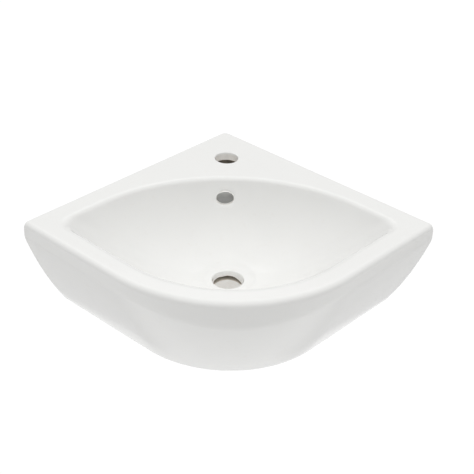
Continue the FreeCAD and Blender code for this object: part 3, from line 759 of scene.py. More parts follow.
# %% Outline of the slot
DUCT_POINTS = 48
SLOT_HALF = 20.2               # half of its width, seen from the front
SLOT_MIDDLE_Z = 25.6
SLOT_FULLNESS = 4
LOW_ARCH = (-12.0, 29.8, 0.008, 0.03)     # middle, top, and how fast it falls to the left and right
TALL_ARCH = (1.0, 30.4, 0.06, 0.013)
FOOT_TOP, FOOT_FALL = 24.2, 0.0075
LEAST_OPENING = 0.4
duct_turns = spread(0, 2 * math.pi, DUCT_POINTS)


def squared(turn, fullness):
    """Point of a unit superellipse: 2 is a circle, and more is nearer to a square."""
    power = 2 / fullness
    across = math.copysign(abs(math.cos(turn)) ** power, math.cos(turn))
    along = math.copysign(abs(math.sin(turn)) ** power, math.sin(turn))
    return across, along


def arch(x, middle, top, left_fall, right_fall):
    """Height of one arch of the slot's upper edge."""
    return top - (left_fall if x < middle else right_fall) * (x - middle) ** 2


def slot_edge_at(x, upper):
    """Height of the slot's upper or lower edge."""
    if upper:
        return max(arch(x, *LOW_ARCH), arch(x, *TALL_ARCH), SLOT_MIDDLE_Z + LEAST_OPENING)
    return FOOT_TOP - FOOT_FALL * x ** 2


def slot_outline(growth):
    """Slot in the bore, unrolled: length along the bore's wall and height."""
    spots = []
    for turn in duct_turns:
        across, along = squared(turn, SLOT_FULLNESS)
        x = SLOT_HALF * across
        height = SLOT_MIDDLE_Z + (abs(along) * (slot_edge_at(x, along > 0) - SLOT_MIDDLE_Z))
        spots.append((BORE * math.asin(x / BORE) + growth * across, height + growth * along))
    return spots


print("slot", 2 * SLOT_HALF, "mm wide")

# %% [markdown]
# The bore is unrolled for the cut: a place on it is given by the length along its wall and by its
# height. Four more outlines behind the edge give it a small rounding and the start of the chamber.

# %% Slot in the bore
SLOT_LIP = 0.9                 # rounding of its edge
SLOT_LOOPS = (                 # growth of the outline, and how far behind the bore's wall it lies
    (0.4 * SLOT_LIP, 0.15), (0.1, 0.5), (0.0, 1.2), (0.0, 4.0))
BORE_PATCH = (17, 36)          # heights between which the bore's wall may be opened


def flat_bore(place):
    low, high = BORE_PATCH
    if place.y < 0 or abs(math.hypot(place.x, place.y) - BORE) > CLOSE or not low < place.z < high:
        return None
    return (BORE * math.atan2(place.x, place.y), place.z)


def on_bore(length, z, radius=BORE):
    return (radius * math.sin(length / BORE), radius * math.cos(length / BORE), z)


slot_edge = punch(slot_outline(SLOT_LIP), flat_bore, on_bore, 1.5, 0.8)
duct_loops = [slot_edge]
for growth, behind in SLOT_LOOPS:
    duct_loops.append(add_places([on_bore(*spot, BORE + behind) for spot in slot_outline(growth)], 0.3))
print("slot cut, edge of", len(slot_edge), "points")

# %% [markdown]
# The duct's middle line is once more the bowl's formula, grown by the bowl's wall and half of the
# duct, and each loop lies square to it. On its way up the duct comes forward and gets narrower, so
# the china is thin behind the oval.

# %% Duct
DUCT_HALF = 20.0
DUCT_FULLNESS = 5
DUCT_START, DUCT_TOP_Z = 0.1, 107.0       # it follows the bowl from this share of its width to here
MIDDLE_GROWTH = BOWL_WALL + DUCT_DEPTH / 2
CHAMBER = ((36.0, 3.7), (44.0, 4.2))      # place of its loops, and half of its height there
MOUTH_Z = 119.2
FORWARD, FORWARD_Z = 7.3, 80.0            # the duct comes forward by this much above this height
NARROWER = 2.5                            # and half of its depth shrinks by this much


def duct_loop(y, z, lean, half_width, half_depth, fullness=DUCT_FULLNESS, glaze=0.3, shift=0.0):
    """Loop across the duct. lean is the angle of its depth axis in the upright plane, from +Y."""
    spots, heights = [], []
    for turn in duct_turns:
        across, along = squared(turn, fullness)
        spots.append((shift + half_width * across, y + half_depth * along * math.cos(lean)))
        heights.append(z + half_depth * along * math.sin(lean))
    return add_loop(spots, heights, glaze)


def middle_line(share):
    """Point of the duct's middle line, and half of the duct's depth there."""
    z = RIM_Z - bowl_depth_at(share, MIDDLE_GROWTH)
    rise = max(0.0, (z - FORWARD_Z) / (MOUTH_Z - FORWARD_Z)) ** 2
    y = bowl_radius(math.pi, share, MIDDLE_GROWTH) - FORWARD * rise
    return (y, z, DUCT_DEPTH / 2 - NARROWER * rise)


for y, half_depth in CHAMBER:
    duct_loops.append(duct_loop(y, SEAT_Z - BOWL_WALL - half_depth, RIGHT_ANGLE, DUCT_HALF, half_depth))
duct_top = share_at(RIM_Z - DUCT_TOP_Z, MIDDLE_GROWTH)
for share in spread(DUCT_START, duct_top, 20) + [duct_top]:
    y, z, half_depth = middle_line(share)
    y_on, z_on, _ = middle_line(share + 0.001)
    lean = math.atan2(z_on - z, y_on - y) + RIGHT_ANGLE
    duct_loops.append(duct_loop(y, z, lean, DUCT_HALF, half_depth, glaze=0.3 + 0.7 * share))
print("duct rises at", round(math.degrees(lean) - 90), "degrees at its top")

# %% [markdown]
# The oval was cut by hand as well, a little beside the middle, with a domed top and a flatter foot.
# For the cut, the bowl's back is seen from the front. Each place on it is given by how far it is to
# the right and by its height, and the bowl's formula gives the rest.

# %% Outline of the oval
MOUTH_X = -3.6
MOUTH_HALF = 12.9
MOUTH_TOP, MOUTH_FOOT = 12.0, 7.4         # how far it reaches up and down from MOUTH_Z
DRAWN_OUT = 0.08               # makes its ends more pointed than an ellipse's
BACK_PATCH = (90, RIM_Z - LIP_DEPTH - 1)  # heights between which the bowl's back may be opened
BACK_NEAR, BACK_HALF = 60, 60             # how far back that patch starts, and half of its width
BACK_CLOSE = 1.5               # far less than the bowl's wall, so its outer skin isn't taken as well


def on_back(x, z, behind=0.0):
    """Point of the bowl's back, seen from the front, or a little behind it."""
    share = share_at(RIM_Z - z)
    return (x, casing_y(x, lambda angle: bowl_radius(angle, share)) + behind, z)


def flat_back(place):
    low, high = BACK_PATCH
    if place.y < BACK_NEAR or abs(place.x) > BACK_HALF or not low < place.z < high:
        return None
    if abs(on_back(abs(place.x), place.z)[1] - place.y) > BACK_CLOSE:
        return None
    return (place.x, place.z)


def mouth_outline(growth):
    """Oval of the overflow, with a domed top, a flatter foot and drawn-out ends."""
    spots = []
    for turn in duct_turns:
        across, along = squared(turn, 2)
        reach = MOUTH_FOOT if along > 0 else MOUTH_TOP
        x = MOUTH_X + (MOUTH_HALF + growth) * across
        spots.append((x, MOUTH_Z - (reach + growth) * along * abs(along) ** DRAWN_OUT))
    return spots


print("oval", 2 * MOUTH_HALF, "mm wide and", MOUTH_TOP + MOUTH_FOOT, "mm high")

# %% [markdown]
# Between the duct's top and the oval the loops pivot about their lower edge. Step by step they get
# narrower and turn from rounded squares into ellipses. Behind the oval they are a short tunnel, and
# the last ones are its rounded edge.

# %% Oval mouth
MOUTH_WALL = 3.8               # the china is thin round the mouth
MOUTH_ROUND = 0.7
PIVOT_SPANS = 5
foot_y = on_back(0, MOUTH_Z - MOUTH_FOOT, MOUTH_WALL)[1]
start_half = half_depth
start = Vector((y + start_half * math.cos(lean), z + start_half * math.sin(lean)))
finish = Vector((foot_y, MOUTH_Z - MOUTH_FOOT))
for step in range(1, PIVOT_SPANS + 1):
    part = step / PIVOT_SPANS
    swing = lean + (1.5 * math.pi - lean) * part
    half_depth = start_half + (MOUTH_TOP / 2 + MOUTH_FOOT / 2 - start_half) * part
    edge = start.lerp(finish, part)
    half_width = DUCT_HALF + (MOUTH_HALF - DUCT_HALF) * part
    fullness = DUCT_FULLNESS + (2 - DUCT_FULLNESS) * part
    duct_loops.append(duct_loop(edge.x - half_depth * math.cos(swing), edge.y - half_depth * math.sin(swing),
                                swing, half_width, half_depth, fullness, 1.0, MOUTH_X * part))
for growth, behind in ((0.0, MOUTH_WALL / 2), (0.0, MOUTH_ROUND), (0.2 * MOUTH_ROUND, 0.4 * MOUTH_ROUND)):
    duct_loops.append(add_places([on_back(*spot, behind) for spot in mouth_outline(growth)], 0.6))
duct_loops.append(punch(mouth_outline(MOUTH_ROUND), flat_back, on_back, 2.0, 1.0))
join_loops(duct_loops)
print("duct of", len(duct_loops), "loops")

# %% [markdown]
# ## Holes for the fixings
# Each wall flange has one plain hole for its bush. Both of its faces are punched along the same
# circle and joined by a short tube.

# %% Fixing holes
FIXING_SHIFT = 222.0 - WALL    # from the waste axis towards the flank, along the wall
FIXING_Z = 61.0
FIXING_RADIUS = 7.25
FIXING_ROUND_BACK, FIXING_ROUND_FRONT = 1.0, 0.8
FIXING_POINTS = 40


def face_of_wall(side, distance):
    """flatten and lift for one upright face, at a distance from the waste axis."""
    def flatten(place):
        x = place.x * side
        if abs((x + place.y) / SQUARE - distance) > CLOSE:
            return None
        return ((x - place.y) / SQUARE, place.z)

    def lift(along, z):
        x, y = plan(along, distance)
        return (x * side, y, z)

    return flatten, lift


def fixing_circle(radius):
    """Circle round the fixing, in lengths along the wall and heights."""
    return [(FIXING_SHIFT + radius * math.cos(turn), FIXING_Z + radius * math.sin(turn))
            for turn in spread(0, 2 * math.pi, FIXING_POINTS)]


for side in (1, -1):
    rings = []
    for distance, growth in ((WALL, FIXING_ROUND_BACK), (WALL - FLANGE_WALL, FIXING_ROUND_FRONT)):
        flatten, lift = face_of_wall(side, distance)
        rings.append(punch(fixing_circle(FIXING_RADIUS + growth), flatten, lift, 3.0, 0.0))
    tube = []
    for distance in (WALL - FIXING_ROUND_BACK, WALL - FLANGE_WALL + FIXING_ROUND_FRONT):
        _, lift = face_of_wall(side, distance)
        tube.append(add_places([lift(*spot) for spot in fixing_circle(FIXING_RADIUS)], 0.0))
    join_loops([rings[0], *tube, rings[1]])
print("fixing holes", round(FIXING_SHIFT, 2), "mm along the walls")

# %% [markdown]
# ## From bmesh to object
# Vertices that fell on each other are merged, and the faces turned outwards. A closed skin has two
# faces at every edge, which is printed as a check. Smooth shading with a limit of 35 degrees keeps
# the few true corners crisp.

# %% Basin object
SHARP_ANGLE = math.radians(35)
MERGE = 0.01                   # mm


def finish_mesh(name, source):
    """Object from a bmesh: merged, turned to metres, faces outwards, smooth with sharp corners."""
    bmesh.ops.remove_doubles(source, verts=source.verts, dist=MERGE)
    bmesh.ops.scale(source, vec=Vector((MM, MM, MM)), verts=source.verts)
    bmesh.ops.recalc_face_normals(source, faces=source.faces)
    open_edges = sum(len(edge.link_faces) != 2 for edge in source.edges)
    mesh = bpy.data.meshes.new(name)
    source.to_mesh(mesh)
    source.free()
    mesh.shade_smooth()
    mesh.set_sharp_from_angle(angle=SHARP_ANGLE)
    piece = bpy.data.objects.new(name, mesh)
    bpy.context.scene.collection.objects.link(piece)
    print(name, len(mesh.vertices), "vertices,", open_edges, "open edges")
    return piece


basin = finish_mesh("glazed_basin", shell)

# %% [markdown]
# ## Coach screws
# A coach screw is a forged hexagon head on a plain shank, with a thread rolled into its far end. The
# blank is a stack of loops. The head's chamfer is a cone that meets the six flats in curved lines,
# which come out right if each point of the upper edge is put where the cone is at its distance. The
# far end stays plain here, with a ring of points twelve times in each pitch. They are there for the
# thread, which comes later.

# %% Screw blank
HEAD_START = 15.15             # wall to the underside of the head: flange, bush collar and washer
SCREW_LENGTH = 80.0
SHANK = 4.0                    # radius
ROOT = 2.9                     # radius at the bottom of the thread
PITCH = 3.6
THREAD_LENGTH = 52.0
HEAD_FLAT = 6.5                # half across the flats
HEAD_THICK = 5.5
HEAD_CHAMFER = math.radians(30)
HEAD_TOP, HEAD_MIDDLE = 6.1, 3.0          # radius where the chamfer starts, and half way in
UNDERHEAD_FILLET = 0.4
POINT_RADIUS, POINT_LENGTH = 0.3, 8.0
SCREW_POINTS = 72
RINGS_PER_TURN = 12
TIP = HEAD_START - SCREW_LENGTH
screw_turns = spread(0, 2 * math.pi, SCREW_POINTS)


def hexagon(turn):
    """Radius of the head's hexagon at an angle."""
    return HEAD_FLAT / math.cos(math.remainder(turn, math.pi / 3))


def screw_blank():
    """Head, shank, root of the thread and point, as one closed skin."""
    blank = bmesh.new()
    top = HEAD_START + HEAD_THICK
    fillet_start = HEAD_START - UNDERHEAD_FILLET
    thread_end = TIP + THREAD_LENGTH
    point_slope = (ROOT - POINT_RADIUS) / POINT_LENGTH
    levels = [[(POINT_RADIUS, TIP)] * SCREW_POINTS]
    for z in spread(TIP, thread_end, round(THREAD_LENGTH / PITCH * RINGS_PER_TURN))[1:]:
        levels.append([(min(ROOT, POINT_RADIUS + point_slope * (z - TIP)), z)] * SCREW_POINTS)
    levels += [[(ROOT, thread_end)] * SCREW_POINTS, [(SHANK, thread_end + 1.2)] * SCREW_POINTS]
    levels += [[(SHANK, z)] * SCREW_POINTS for z in spread(thread_end + 2.0, fillet_start, 6)]
    levels.append([(SHANK, fillet_start)] * SCREW_POINTS)
    levels.append([(SHANK + UNDERHEAD_FILLET, HEAD_START)] * SCREW_POINTS)
    levels.append([(HEAD_FLAT - 0.2, HEAD_START)] * SCREW_POINTS)
    levels.append([(hexagon(turn), HEAD_START + 0.15) for turn in screw_turns])
    levels.append([(hexagon(turn), top - (hexagon(turn) - HEAD_TOP) * math.tan(HEAD_CHAMFER))
                   for turn in screw_turns])
    levels += [[(HEAD_TOP, top)] * SCREW_POINTS, [(HEAD_MIDDLE, top)] * SCREW_POINTS]
    loops = []
    for level in levels:
        loops.append([blank.verts.new((r * math.cos(turn), r * math.sin(turn), z))
                      for (r, z), turn in zip(level, screw_turns)])
    for first, second in zip(loops, loops[1:]):
        for i in range(SCREW_POINTS):
            blank.faces.new((first[i - 1], first[i], second[i], second[i - 1]))
    for loop, z in ((loops[0], TIP - 0.1), (loops[-1], top)):
        middle = blank.verts.new((0, 0, z))
        for i in range(SCREW_POINTS):
            blank.faces.new((loop[i - 1], loop[i], middle))
    return blank


print("screw from", TIP, "to", HEAD_START + HEAD_THICK, "mm from the wall")

# %% [markdown]
# One small function adds a node of any kind, sets it up and links it. Geometry Nodes and materials
# both use it. It returns the node's outputs, so the next call can take one of them as its input.
# Most nodes have their result in output 0. A Mix node keeps sockets for each kind of data: its
# colours go in at 6 and 7 and come out at 2.

# %% Node helper
MATH, RANGE = "ShaderNodeMath", "ShaderNodeMapRange"
MIX, NOISE = "ShaderNodeMix", "ShaderNodeTexNoise"


def add_node(tree, kind, inputs=(), **settings):
    """Adds a node and returns its outputs.

    inputs holds values or other nodes' outputs: a tuple in the order of the sockets, or a dict by
    their names or numbers. Further keywords are the node's own settings.
    """
    node = tree.nodes.new(kind)
    for name, value in settings.items():
        setattr(node, name, value)
    sockets = inputs if isinstance(inputs, dict) else dict(enumerate(inputs))
    for name, value in sockets.items():
        if isinstance(value, bpy.types.NodeSocket):
            tree.links.new(value, node.inputs[name])
        else:
            node.inputs[name].default_value = value
    return node.outputs


print("node helper ready")

# %% [markdown]
# ## Finishes
# Every finish starts from what the real one is. Colours are given as sRGB hex codes and turned to
# the linear values that a shader needs. Every pattern has a real size in millimetres: a noise
# texture's scale is one over the size of its features in metres. The patterns read Object
# coordinates, so they keep their size and place on the piece, and need no UV map.

# %% Colour, scale and surface helpers
NOISE_RANGE = (0.3, 0.7)       # nearly all values of a noise lie between these


def srgb(code):
    """Linear colour from an sRGB hex code."""
    parts = [int(code[i:i + 2], 16) / 255 for i in (1, 3, 5)]
    return [part / 12.92 if part <= 0.04045 else ((part + 0.055) / 1.055) ** 2.4 for part in parts] + [1.0]


def per_metre(feature):
    """Scale of a noise whose features are so many millimetres wide."""
    return 1 / (feature * MM)


def new_material(name):
    """Empty material, its tree and the Object coordinates that its patterns read."""
    material = bpy.data.materials.new(name)
    material.use_nodes = True
    tree = material.node_tree
    tree.nodes.clear()
    return material, tree, add_node(tree, "ShaderNodeTexCoord")["Object"]


def finish_surface(tree, height, depth, **inputs):
    """Principled shader with a bump. depth is how deep the bump's pattern is, in millimetres."""
    bump = add_node(tree, "ShaderNodeBump", {"Height": height, "Distance": depth * MM})[0]
    sockets = {name.replace("_", " "): value for name, value in inputs.items()}
    shader = add_node(tree, "ShaderNodeBsdfPrincipled", {**sockets, "Normal": bump})[0]
    add_node(tree, "ShaderNodeOutputMaterial", (shader,))


print("glaze white is", [round(part, 3) for part in srgb("#F1F1EF")], "in linear light")

# %% [markdown]
# ## Glazed vitreous china
# Sanitary ware is dipped or sprayed with an opaque white glaze and fired once. The glaze is glass:
# it has glass's IOR, a hard low roughness and a very faint waviness, called orange peel, a
# centimetre or so wide. Where no glaze was sprayed, the fired clay shows as a matt, warm grey
# biscuit with a fine grain. The "glaze" attribute says where that is, and a noise makes the border
# between the two run as unevenly as a spray gun leaves it. Thin glaze lets the clay warm its white.
# Below zero the attribute darkens the biscuit towards a grey-brown: painted shade.

# %% China
ORANGE_PEEL = 12.0             # mm
ORANGE_PEEL_DEPTH = 0.03       # mm
TONE_PATCH = 70.0              # mm
SPRAY_EDGE = 7.0               # mm
SPRAY_SHIFT = 0.25             # how much glaze the spray adds or takes away near its edge
BISCUIT_GRAIN = 0.9            # mm: the real grain is near 0.1 mm, too fine to show
COVERING = (0.42, 0.62)        # amounts of glaze between which it comes to cover the clay
THICKENING = (0.5, 0.95)       # and between which it loses the clay's tint
SHADE_AMOUNTS = (-1.0, -0.1)            # amounts where the painted shade is darkest and where it ends
GLAZE_ROUGHNESS = (0.07, 0.11)
BISCUIT_ROUGHNESS = 0.85
GLASS_IOR = 1.5
CHINA_PATTERNS = {             # size in mm and levels of detail
    "spray": (SPRAY_EDGE, 3.0),
    "tone": (TONE_PATCH, 2.0),
    "grain": (BISCUIT_GRAIN, 4.0),
    "sheen": (ORANGE_PEEL * 2, 2.0),
    "peel": (ORANGE_PEEL, 1.0),
}


def make_china():
    material, tree, place = new_material("glazed_vitreous_china")
    spray, tone, grain, sheen, peel = [
        add_node(tree, NOISE, {"Vector": place, "Scale": per_metre(feature), "Detail": detail})[0]
        for feature, detail in CHINA_PATTERNS.values()
    ]
    glaze = add_node(tree, "ShaderNodeAttribute", attribute_name="glaze")["Fac"]
    spray = add_node(tree, MATH, (spray, 2 * SPRAY_SHIFT, -SPRAY_SHIFT), operation="MULTIPLY_ADD")[0]
    amount = add_node(tree, MATH, (glaze, spray), operation="ADD")[0]
    cover = add_node(tree, RANGE, (amount, *COVERING, 0.0, 1.0))[0]
    bare = add_node(tree, RANGE, (cover, 0.0, 1.0, 1.0, 0.0))[0]
    thick = add_node(tree, RANGE, (amount, *THICKENING, 0.0, 1.0))[0]
    # Below zero, the glaze attribute stands for painted shade on the biscuit.
    unshaded = add_node(tree, RANGE, (glaze, *SHADE_AMOUNTS, 0.0, 1.0))[0]

    white = {0: tone, 6: srgb("#F1F1EF"), 7: srgb("#EFEFED")}
    glazed = {0: thick, 6: srgb("#E9E5DF"), 7: add_node(tree, MIX, white, data_type="RGBA")[2]}
    biscuit = {0: grain, 6: srgb("#BDB5A9"), 7: srgb("#CCC5BA")}
    # The dark grey-brown #6E685F is painted shade, mixed over the biscuit by the negative glaze.
    shaded_biscuit = {0: unshaded, 6: srgb("#6E685F"), 7: add_node(tree, MIX, biscuit, data_type="RGBA")[2]}
    both = {0: cover, 6: add_node(tree, MIX, shaded_biscuit, data_type="RGBA")[2],
            7: add_node(tree, MIX, glazed, data_type="RGBA")[2]}
    colour = add_node(tree, MIX, both, data_type="RGBA")[2]

    gloss = add_node(tree, RANGE, (sheen, *NOISE_RANGE, *GLAZE_ROUGHNESS))[0]
    gloss = add_node(tree, MATH, (gloss, cover), operation="MULTIPLY")[0]
    matt = add_node(tree, RANGE, (cover, 0.0, 1.0, BISCUIT_ROUGHNESS, 0.0))[0]
    roughness = add_node(tree, MATH, (gloss, matt), operation="ADD")[0]
    waves = add_node(tree, MATH, (peel, cover), operation="MULTIPLY")[0]
    grit = add_node(tree, MATH, (grain, bare), operation="MULTIPLY")[0]
    height = add_node(tree, MATH, (waves, grit), operation="ADD")[0]
    finish_surface(tree, height, ORANGE_PEEL_DEPTH,
                   Base_Color=colour, Roughness=roughness, IOR=GLASS_IOR)
    return material


china = make_china()
basin.data.materials.append(china)
print("made", china.name)

# %% [markdown]
# ## Zinc plate
# The screws and washers are steel with a bright zinc plate: a metal whose thin crystals give it
# soft, slightly cloudy reflections. One noise moves both the colour and the roughness, because a
# duller crystal also looks lighter.

# %% Zinc
ZINC_CLOUD = 2.5               # mm


def make_zinc():
    material, tree, place = new_material("bright_zinc_plated_steel")
    cloud, crystals = [
        add_node(tree, NOISE, {"Vector": place, "Scale": per_metre(feature), "Detail": detail})[0]
        for feature, detail in ((ZINC_CLOUD, 3.0), (ZINC_CLOUD / 4, 2.0))
    ]
    tone = {0: cloud, 6: srgb("#B9BDC2"), 7: srgb("#D2D5D8")}
    colour = add_node(tree, MIX, tone, data_type="RGBA")[2]
    roughness = add_node(tree, RANGE, (cloud, *NOISE_RANGE, 0.24, 0.4))[0]
    finish_surface(tree, crystals, 0.01, Base_Color=colour, Roughness=roughness, Metallic=1.0)
    return material


zinc = make_zinc()
print("made", zinc.name)

# %% [markdown]
# ## Polypropylene and nylon
# The bushes are moulded in white polypropylene and the plugs in grey nylon. Both are satin plastics
# with a fine mould texture, and nylon is a little duller. The CAD pieces keep their own shape, so
# they only take a new material.

# %% Plastics
MOULD_GRAIN = 0.8              # mm: the real texture is finer than a render shows


def make_plastic(name, dark, light, roughness):
    material, tree, place = new_material(name)
    grain, flow = [
        add_node(tree, NOISE, {"Vector": place, "Scale": per_metre(feature), "Detail": detail})[0]
        for feature, detail in ((MOULD_GRAIN, 3.0), (MOULD_GRAIN * 8, 2.0))
    ]
    tone = {0: flow, 6: srgb(dark), 7: srgb(light)}
    colour = add_node(tree, MIX, tone, data_type="RGBA")[2]
    satin = add_node(tree, RANGE, (grain, *NOISE_RANGE, roughness - 0.06, roughness + 0.06))[0]
    finish_surface(tree, grain, 0.012, Base_Color=colour, IOR=1.49, Roughness=satin)
    return material


white_plastic = make_plastic("moulded_white_polypropylene", "#E2E2DC", "#ECECE7", 0.42)
grey_nylon = make_plastic("moulded_grey_nylon", "#85888C", "#92959A", 0.52)
for side in ("right", "left"):
    for part, finish in (("washer", zinc), ("flanged_bush", white_plastic), ("wall_plug", grey_nylon)):
        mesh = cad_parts[f"{side}_{part}"].data
        mesh.materials.clear()
        mesh.materials.append(finish)
print("finished the washers, bushes and plugs")

# %% [markdown]
# ## The rolled thread in Geometry Nodes
# A thread follows a rule, so Geometry Nodes can make it: one turn about the axis is one pitch of the
# height. The tree moves each point of the blank out from the axis. How far depends on the phase,
# which is the height in pitches less the angle in turns. A Screw modifier would wind a profile as
# well, but here the ridge also fades in at the point and out at the shank, as the rolling dies leave
# it.

# %% Thread
CREST_SHARE = 0.1              # of half a pitch that is level crest
RIDGE_SHARE = 0.8              # of half a pitch that the ridge takes at its root


def thread_tree(material):
    tree = bpy.data.node_groups.new("rolled_thread", "GeometryNodeTree")
    tree.interface.new_socket("Geometry", in_out="INPUT", socket_type="NodeSocketGeometry")
    for name in ("Pitch", "Height", "Start", "End"):
        tree.interface.new_socket(name, in_out="INPUT", socket_type="NodeSocketFloat")
    tree.interface.new_socket("Geometry", in_out="OUTPUT", socket_type="NodeSocketGeometry")
    given = add_node(tree, "NodeGroupInput")
    place = add_node(tree, "GeometryNodeInputPosition")[0]
    x, y, z = add_node(tree, "ShaderNodeSeparateXYZ", (place,))

    angle = add_node(tree, MATH, (y, x), operation="ARCTAN2")[0]
    turns = add_node(tree, MATH, (angle, 2 * math.pi), operation="DIVIDE")[0]
    pitches = add_node(tree, MATH, (z, given["Pitch"]), operation="DIVIDE")[0]
    wound = add_node(tree, MATH, (pitches, turns), operation="SUBTRACT")[0]
    phase = add_node(tree, MATH, (wound,), operation="FRACT")[0]
    from_crest = add_node(tree, MATH, (phase, 2.0, -1.0), operation="MULTIPLY_ADD")[0]
    off_crest = add_node(tree, MATH, (from_crest,), operation="ABSOLUTE")[0]
    ridge = add_node(tree, RANGE, (off_crest, CREST_SHARE, RIDGE_SHARE, 1.0, 0.0))[0]

    from_start = add_node(tree, MATH, (z, given["Start"]), operation="SUBTRACT")[0]
    two_pitches = add_node(tree, MATH, (given["Pitch"], 2.0), operation="MULTIPLY")[0]
    fade_in = add_node(tree, MATH, (from_start, two_pitches), operation="DIVIDE", use_clamp=True)[0]
    to_end = add_node(tree, MATH, (given["End"], z), operation="SUBTRACT")[0]
    fade_out = add_node(tree, MATH, (to_end, given["Pitch"]), operation="DIVIDE", use_clamp=True)[0]
    full_lift = add_node(tree, MATH, (ridge, given["Height"]), operation="MULTIPLY")[0]
    fade = add_node(tree, MATH, (fade_in, fade_out), operation="MULTIPLY")[0]
    lift = add_node(tree, MATH, (full_lift, fade), operation="MULTIPLY")[0]

    flat = add_node(tree, "ShaderNodeCombineXYZ", (x, y))[0]
    outward = add_node(tree, "ShaderNodeVectorMath", (flat,), operation="NORMALIZE")[0]
    offset = add_node(tree, "ShaderNodeVectorMath", {0: outward, "Scale": lift}, operation="SCALE")[0]
    moved = add_node(tree, "GeometryNodeSetPosition", {"Geometry": given["Geometry"], "Offset": offset})[0]
    plain = add_node(tree, "GeometryNodeRealizeInstances", (moved,))[0]
    painted = add_node(tree, "GeometryNodeSetMaterial", {"Geometry": plain, "Material": material})[0]
    add_node(tree, "NodeGroupOutput", (painted,))
    return tree


thread = thread_tree(zinc)
print("thread of", len(thread.nodes), "nodes, pitch", PITCH, "mm")

# %% [markdown]
# The modifier that runs the tree needs its sizes by each socket's identifier. They are set before
# the piece is first evaluated. The evaluated mesh then takes the blank's place, and the modifier
# goes. At last each screw's mesh is turned from upright to square on its wall.

# %% Screws in place
def apply_tree(piece, tree, values):
    """Runs a tree on a piece and keeps the result as its plain mesh."""
    modifier = piece.modifiers.new(tree.name, "NODES")
    modifier.node_group = tree
    for item in tree.interface.items_tree:
        if item.in_out == "INPUT" and item.name in values:
            modifier[item.identifier] = values[item.name]
    evaluated = piece.evaluated_get(bpy.context.evaluated_depsgraph_get())
    mesh = bpy.data.meshes.new_from_object(evaluated)
    piece.modifiers.remove(modifier)
    mesh.name = piece.name
    piece.data = mesh


thread_values = {"Pitch": PITCH * MM, "Height": (SHANK - ROOT) * MM,
                 "Start": TIP * MM, "End": (TIP + THREAD_LENGTH) * MM}
for side, name in ((1, "right_coach_screw"), (-1, "left_coach_screw")):
    screw = finish_mesh(name + "_forged", screw_blank())
    apply_tree(screw, thread, thread_values)
    inward = Vector((-side, -1, 0)).normalized()
    upward = Vector((0, 0, 1))
    turn = Matrix((upward.cross(inward), upward, inward)).transposed().to_4x4()
    x, y = plan(FIXING_SHIFT, WALL)
    screw.data.transform(Matrix.Translation(Vector((x * side, y, FIXING_Z)) * MM) @ turn)
    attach(screw, "root")
    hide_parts(name)
    print(screw.name, len(screw.data.vertices), "vertices")

# %% [markdown]
# ## Light and floor
# White glaze is shaped by light alone. The deck and the bowl take the light from above, the upright
# band sees half sky and half floor, and the leaning skirt sees mostly the floor. A sky that is
# bright overhead and dark at the horizon keeps the band darker than the deck, as a ceiling of soft
# boxes does. Real soft boxes would be mirrored in the glaze as panels with hard edges, and the sky
# has none. Below the horizon it is as bright as the far floor, so the floor seems to go on for ever.
# One wide lamp from the front lights the bowl's back, and one from behind draws the bright line
# along the rim.

# %% Sky and lamps
SKY = 1.33                     # radiance overhead, in W/m2 per steradian
GROUND = 0.56                  # and below the horizon, where the floor ends
HORIZON_LOW, HORIZON_HIGH = -0.03, -0.01  # heights between which the ground fades out
LAMPS = {                      # where it stands, its softness in degrees and its strength in W/m2
    "front_lamp": ((0, -0.6, 0.8), 60, 0.30),
    "back_lamp": ((0, 0.6, 0.8), 40, 0.20),
}

world = bpy.data.worlds.new("bright_overhead")
world.use_nodes = True
sky_tree = world.node_tree
look = add_node(sky_tree, "ShaderNodeTexCoord")["Generated"]
height = add_node(sky_tree, "ShaderNodeSeparateXYZ", (look,))[2]
overhead = add_node(sky_tree, RANGE, (height, 0.0, 1.0, 0.0, SKY))[0]
ground = add_node(sky_tree, RANGE, (height, HORIZON_LOW, HORIZON_HIGH, GROUND, 0.0))[0]
glow = add_node(sky_tree, MATH, (overhead, ground), operation="ADD")[0]
sky_tree.links.new(glow, sky_tree.nodes["Background"].inputs["Strength"])
sky_tree.nodes["Background"].inputs["Color"].default_value = (1, 1, 1, 1)
bpy.context.scene.world = world

for name, (place, softness, strength) in LAMPS.items():
    lamp = bpy.data.objects.new(name, bpy.data.lights.new(name, "SUN"))
    lamp.data.energy = strength
    lamp.data.angle = math.radians(softness)
    lamp.rotation_euler = Vector(place).to_track_quat("Z", "Y").to_euler()
    bpy.context.scene.collection.objects.link(lamp)
print("lit by a sky and", len(LAMPS), "lamps")

# %% [markdown]
# The floor is a wide sheet, far enough below that no shadow of the basin is seen. Its far edge is
# turned up as a backdrop, which the bowl's lip mirrors and stays light by.

# %% Floor
FLOOR_Z = -2.80                # metres, as all lengths of the floor are
FLOOR_HALF = 30.0
BACKDROP_Y, BACKDROP_Z = 20.0, 4.0

floor_mesh = bpy.data.meshes.new("floor")
corners = [(x, y, z) for y, z in ((-FLOOR_HALF, FLOOR_Z), (BACKDROP_Y, FLOOR_Z), (BACKDROP_Y, BACKDROP_Z))
           for x in (-FLOOR_HALF, FLOOR_HALF)]
floor_mesh.from_pydata(corners, [], [(0, 1, 3, 2), (2, 3, 5, 4)])
floor = bpy.data.objects.new("floor", floor_mesh)
bpy.context.scene.collection.objects.link(floor)
print("floor", FLOOR_Z, "m from the origin")

# %% [markdown]
# Its matt pale paint glows a little, like the light table of a product studio. It glows most in
# front of the basin, where it lights the skirt from below, and that glow fades out a few metres
# away, so that the upright band mirrors a darker floor. A wedge behind the basin glows enough to
# turn pure white. Beside the wedge the floor glows least, so that the flanks don't mirror a floor as
# bright as themselves. Lamps aimed at the floor could do the same, but they would light the basin
# too.

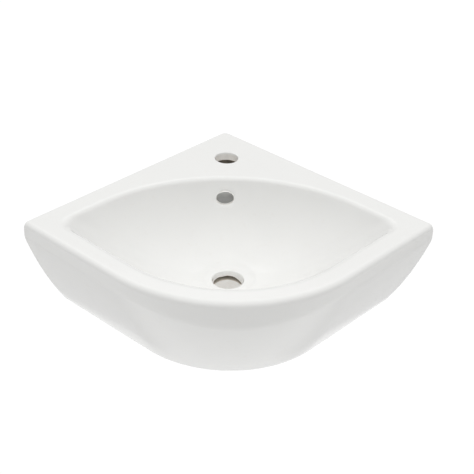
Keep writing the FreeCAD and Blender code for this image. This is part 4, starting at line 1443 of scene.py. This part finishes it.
# %% Floor paint
FRONT_GLOW, WEDGE_GLOW, SIDE_GLOW = 0.60, 0.46, 0.18
FRONT_FAR, FRONT_NEAR = -5.0, -2.0        # the front glow fades out between these
BACK_START, BACK_FULL = 0.4, 1.2          # and gives way to the back's between these
WEDGE_INNER, WEDGE_OUTER = 0.6, 0.85      # the wedge's glow fades to the sides' between these
WEDGE_SLOPE = 0.25             # the wedge gets wider by this much on each side per metre
PAINT_PATCH = 900.0            # mm
PAINT_GRAIN = 3.0              # mm: a roller's texture

paint, paint_tree, place = new_material("glowing_matt_paint")
patches, grain = [
    add_node(paint_tree, NOISE, {"Vector": place, "Scale": per_metre(feature), "Detail": 2.0})[0]
    for feature in (PAINT_PATCH, PAINT_GRAIN)
]
x, y, _ = add_node(paint_tree, "ShaderNodeSeparateXYZ", (place,))
off_centre = add_node(paint_tree, MATH, (x,), operation="ABSOLUTE")[0]
beside = add_node(paint_tree, MATH, (y, -WEDGE_SLOPE, off_centre), operation="MULTIPLY_ADD")[0]
back_glow = add_node(paint_tree, RANGE, (beside, WEDGE_INNER, WEDGE_OUTER, WEDGE_GLOW, SIDE_GLOW))[0]
behind = add_node(paint_tree, RANGE, (y, BACK_START, BACK_FULL, 0.0, 1.0))[0]
front_glow = add_node(paint_tree, RANGE, (y, FRONT_FAR, FRONT_NEAR, 0.0, FRONT_GLOW))[0]
extra = add_node(paint_tree, MATH, (back_glow, front_glow), operation="SUBTRACT")[0]
paint_glow = add_node(paint_tree, MATH, (extra, behind, front_glow), operation="MULTIPLY_ADD")[0]
paint_tone = {0: patches, 6: srgb("#C6C6C6"), 7: srgb("#C4C4C4")}
finish_surface(paint_tree, grain, 0.05, Roughness=1.0, Specular_IOR_Level=0.0,
               Base_Color=add_node(paint_tree, MIX, paint_tone, data_type="RGBA")[2],
               Emission_Color=srgb("#FFFFFF"), Emission_Strength=paint_glow)
floor_mesh.materials.append(paint)
bpy.context.scene.view_settings.view_transform = "Standard"
print("made", paint.name)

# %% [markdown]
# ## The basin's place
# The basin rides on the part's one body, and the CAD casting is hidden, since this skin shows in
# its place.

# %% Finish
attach(basin, "root")
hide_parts("ceramic_basin")
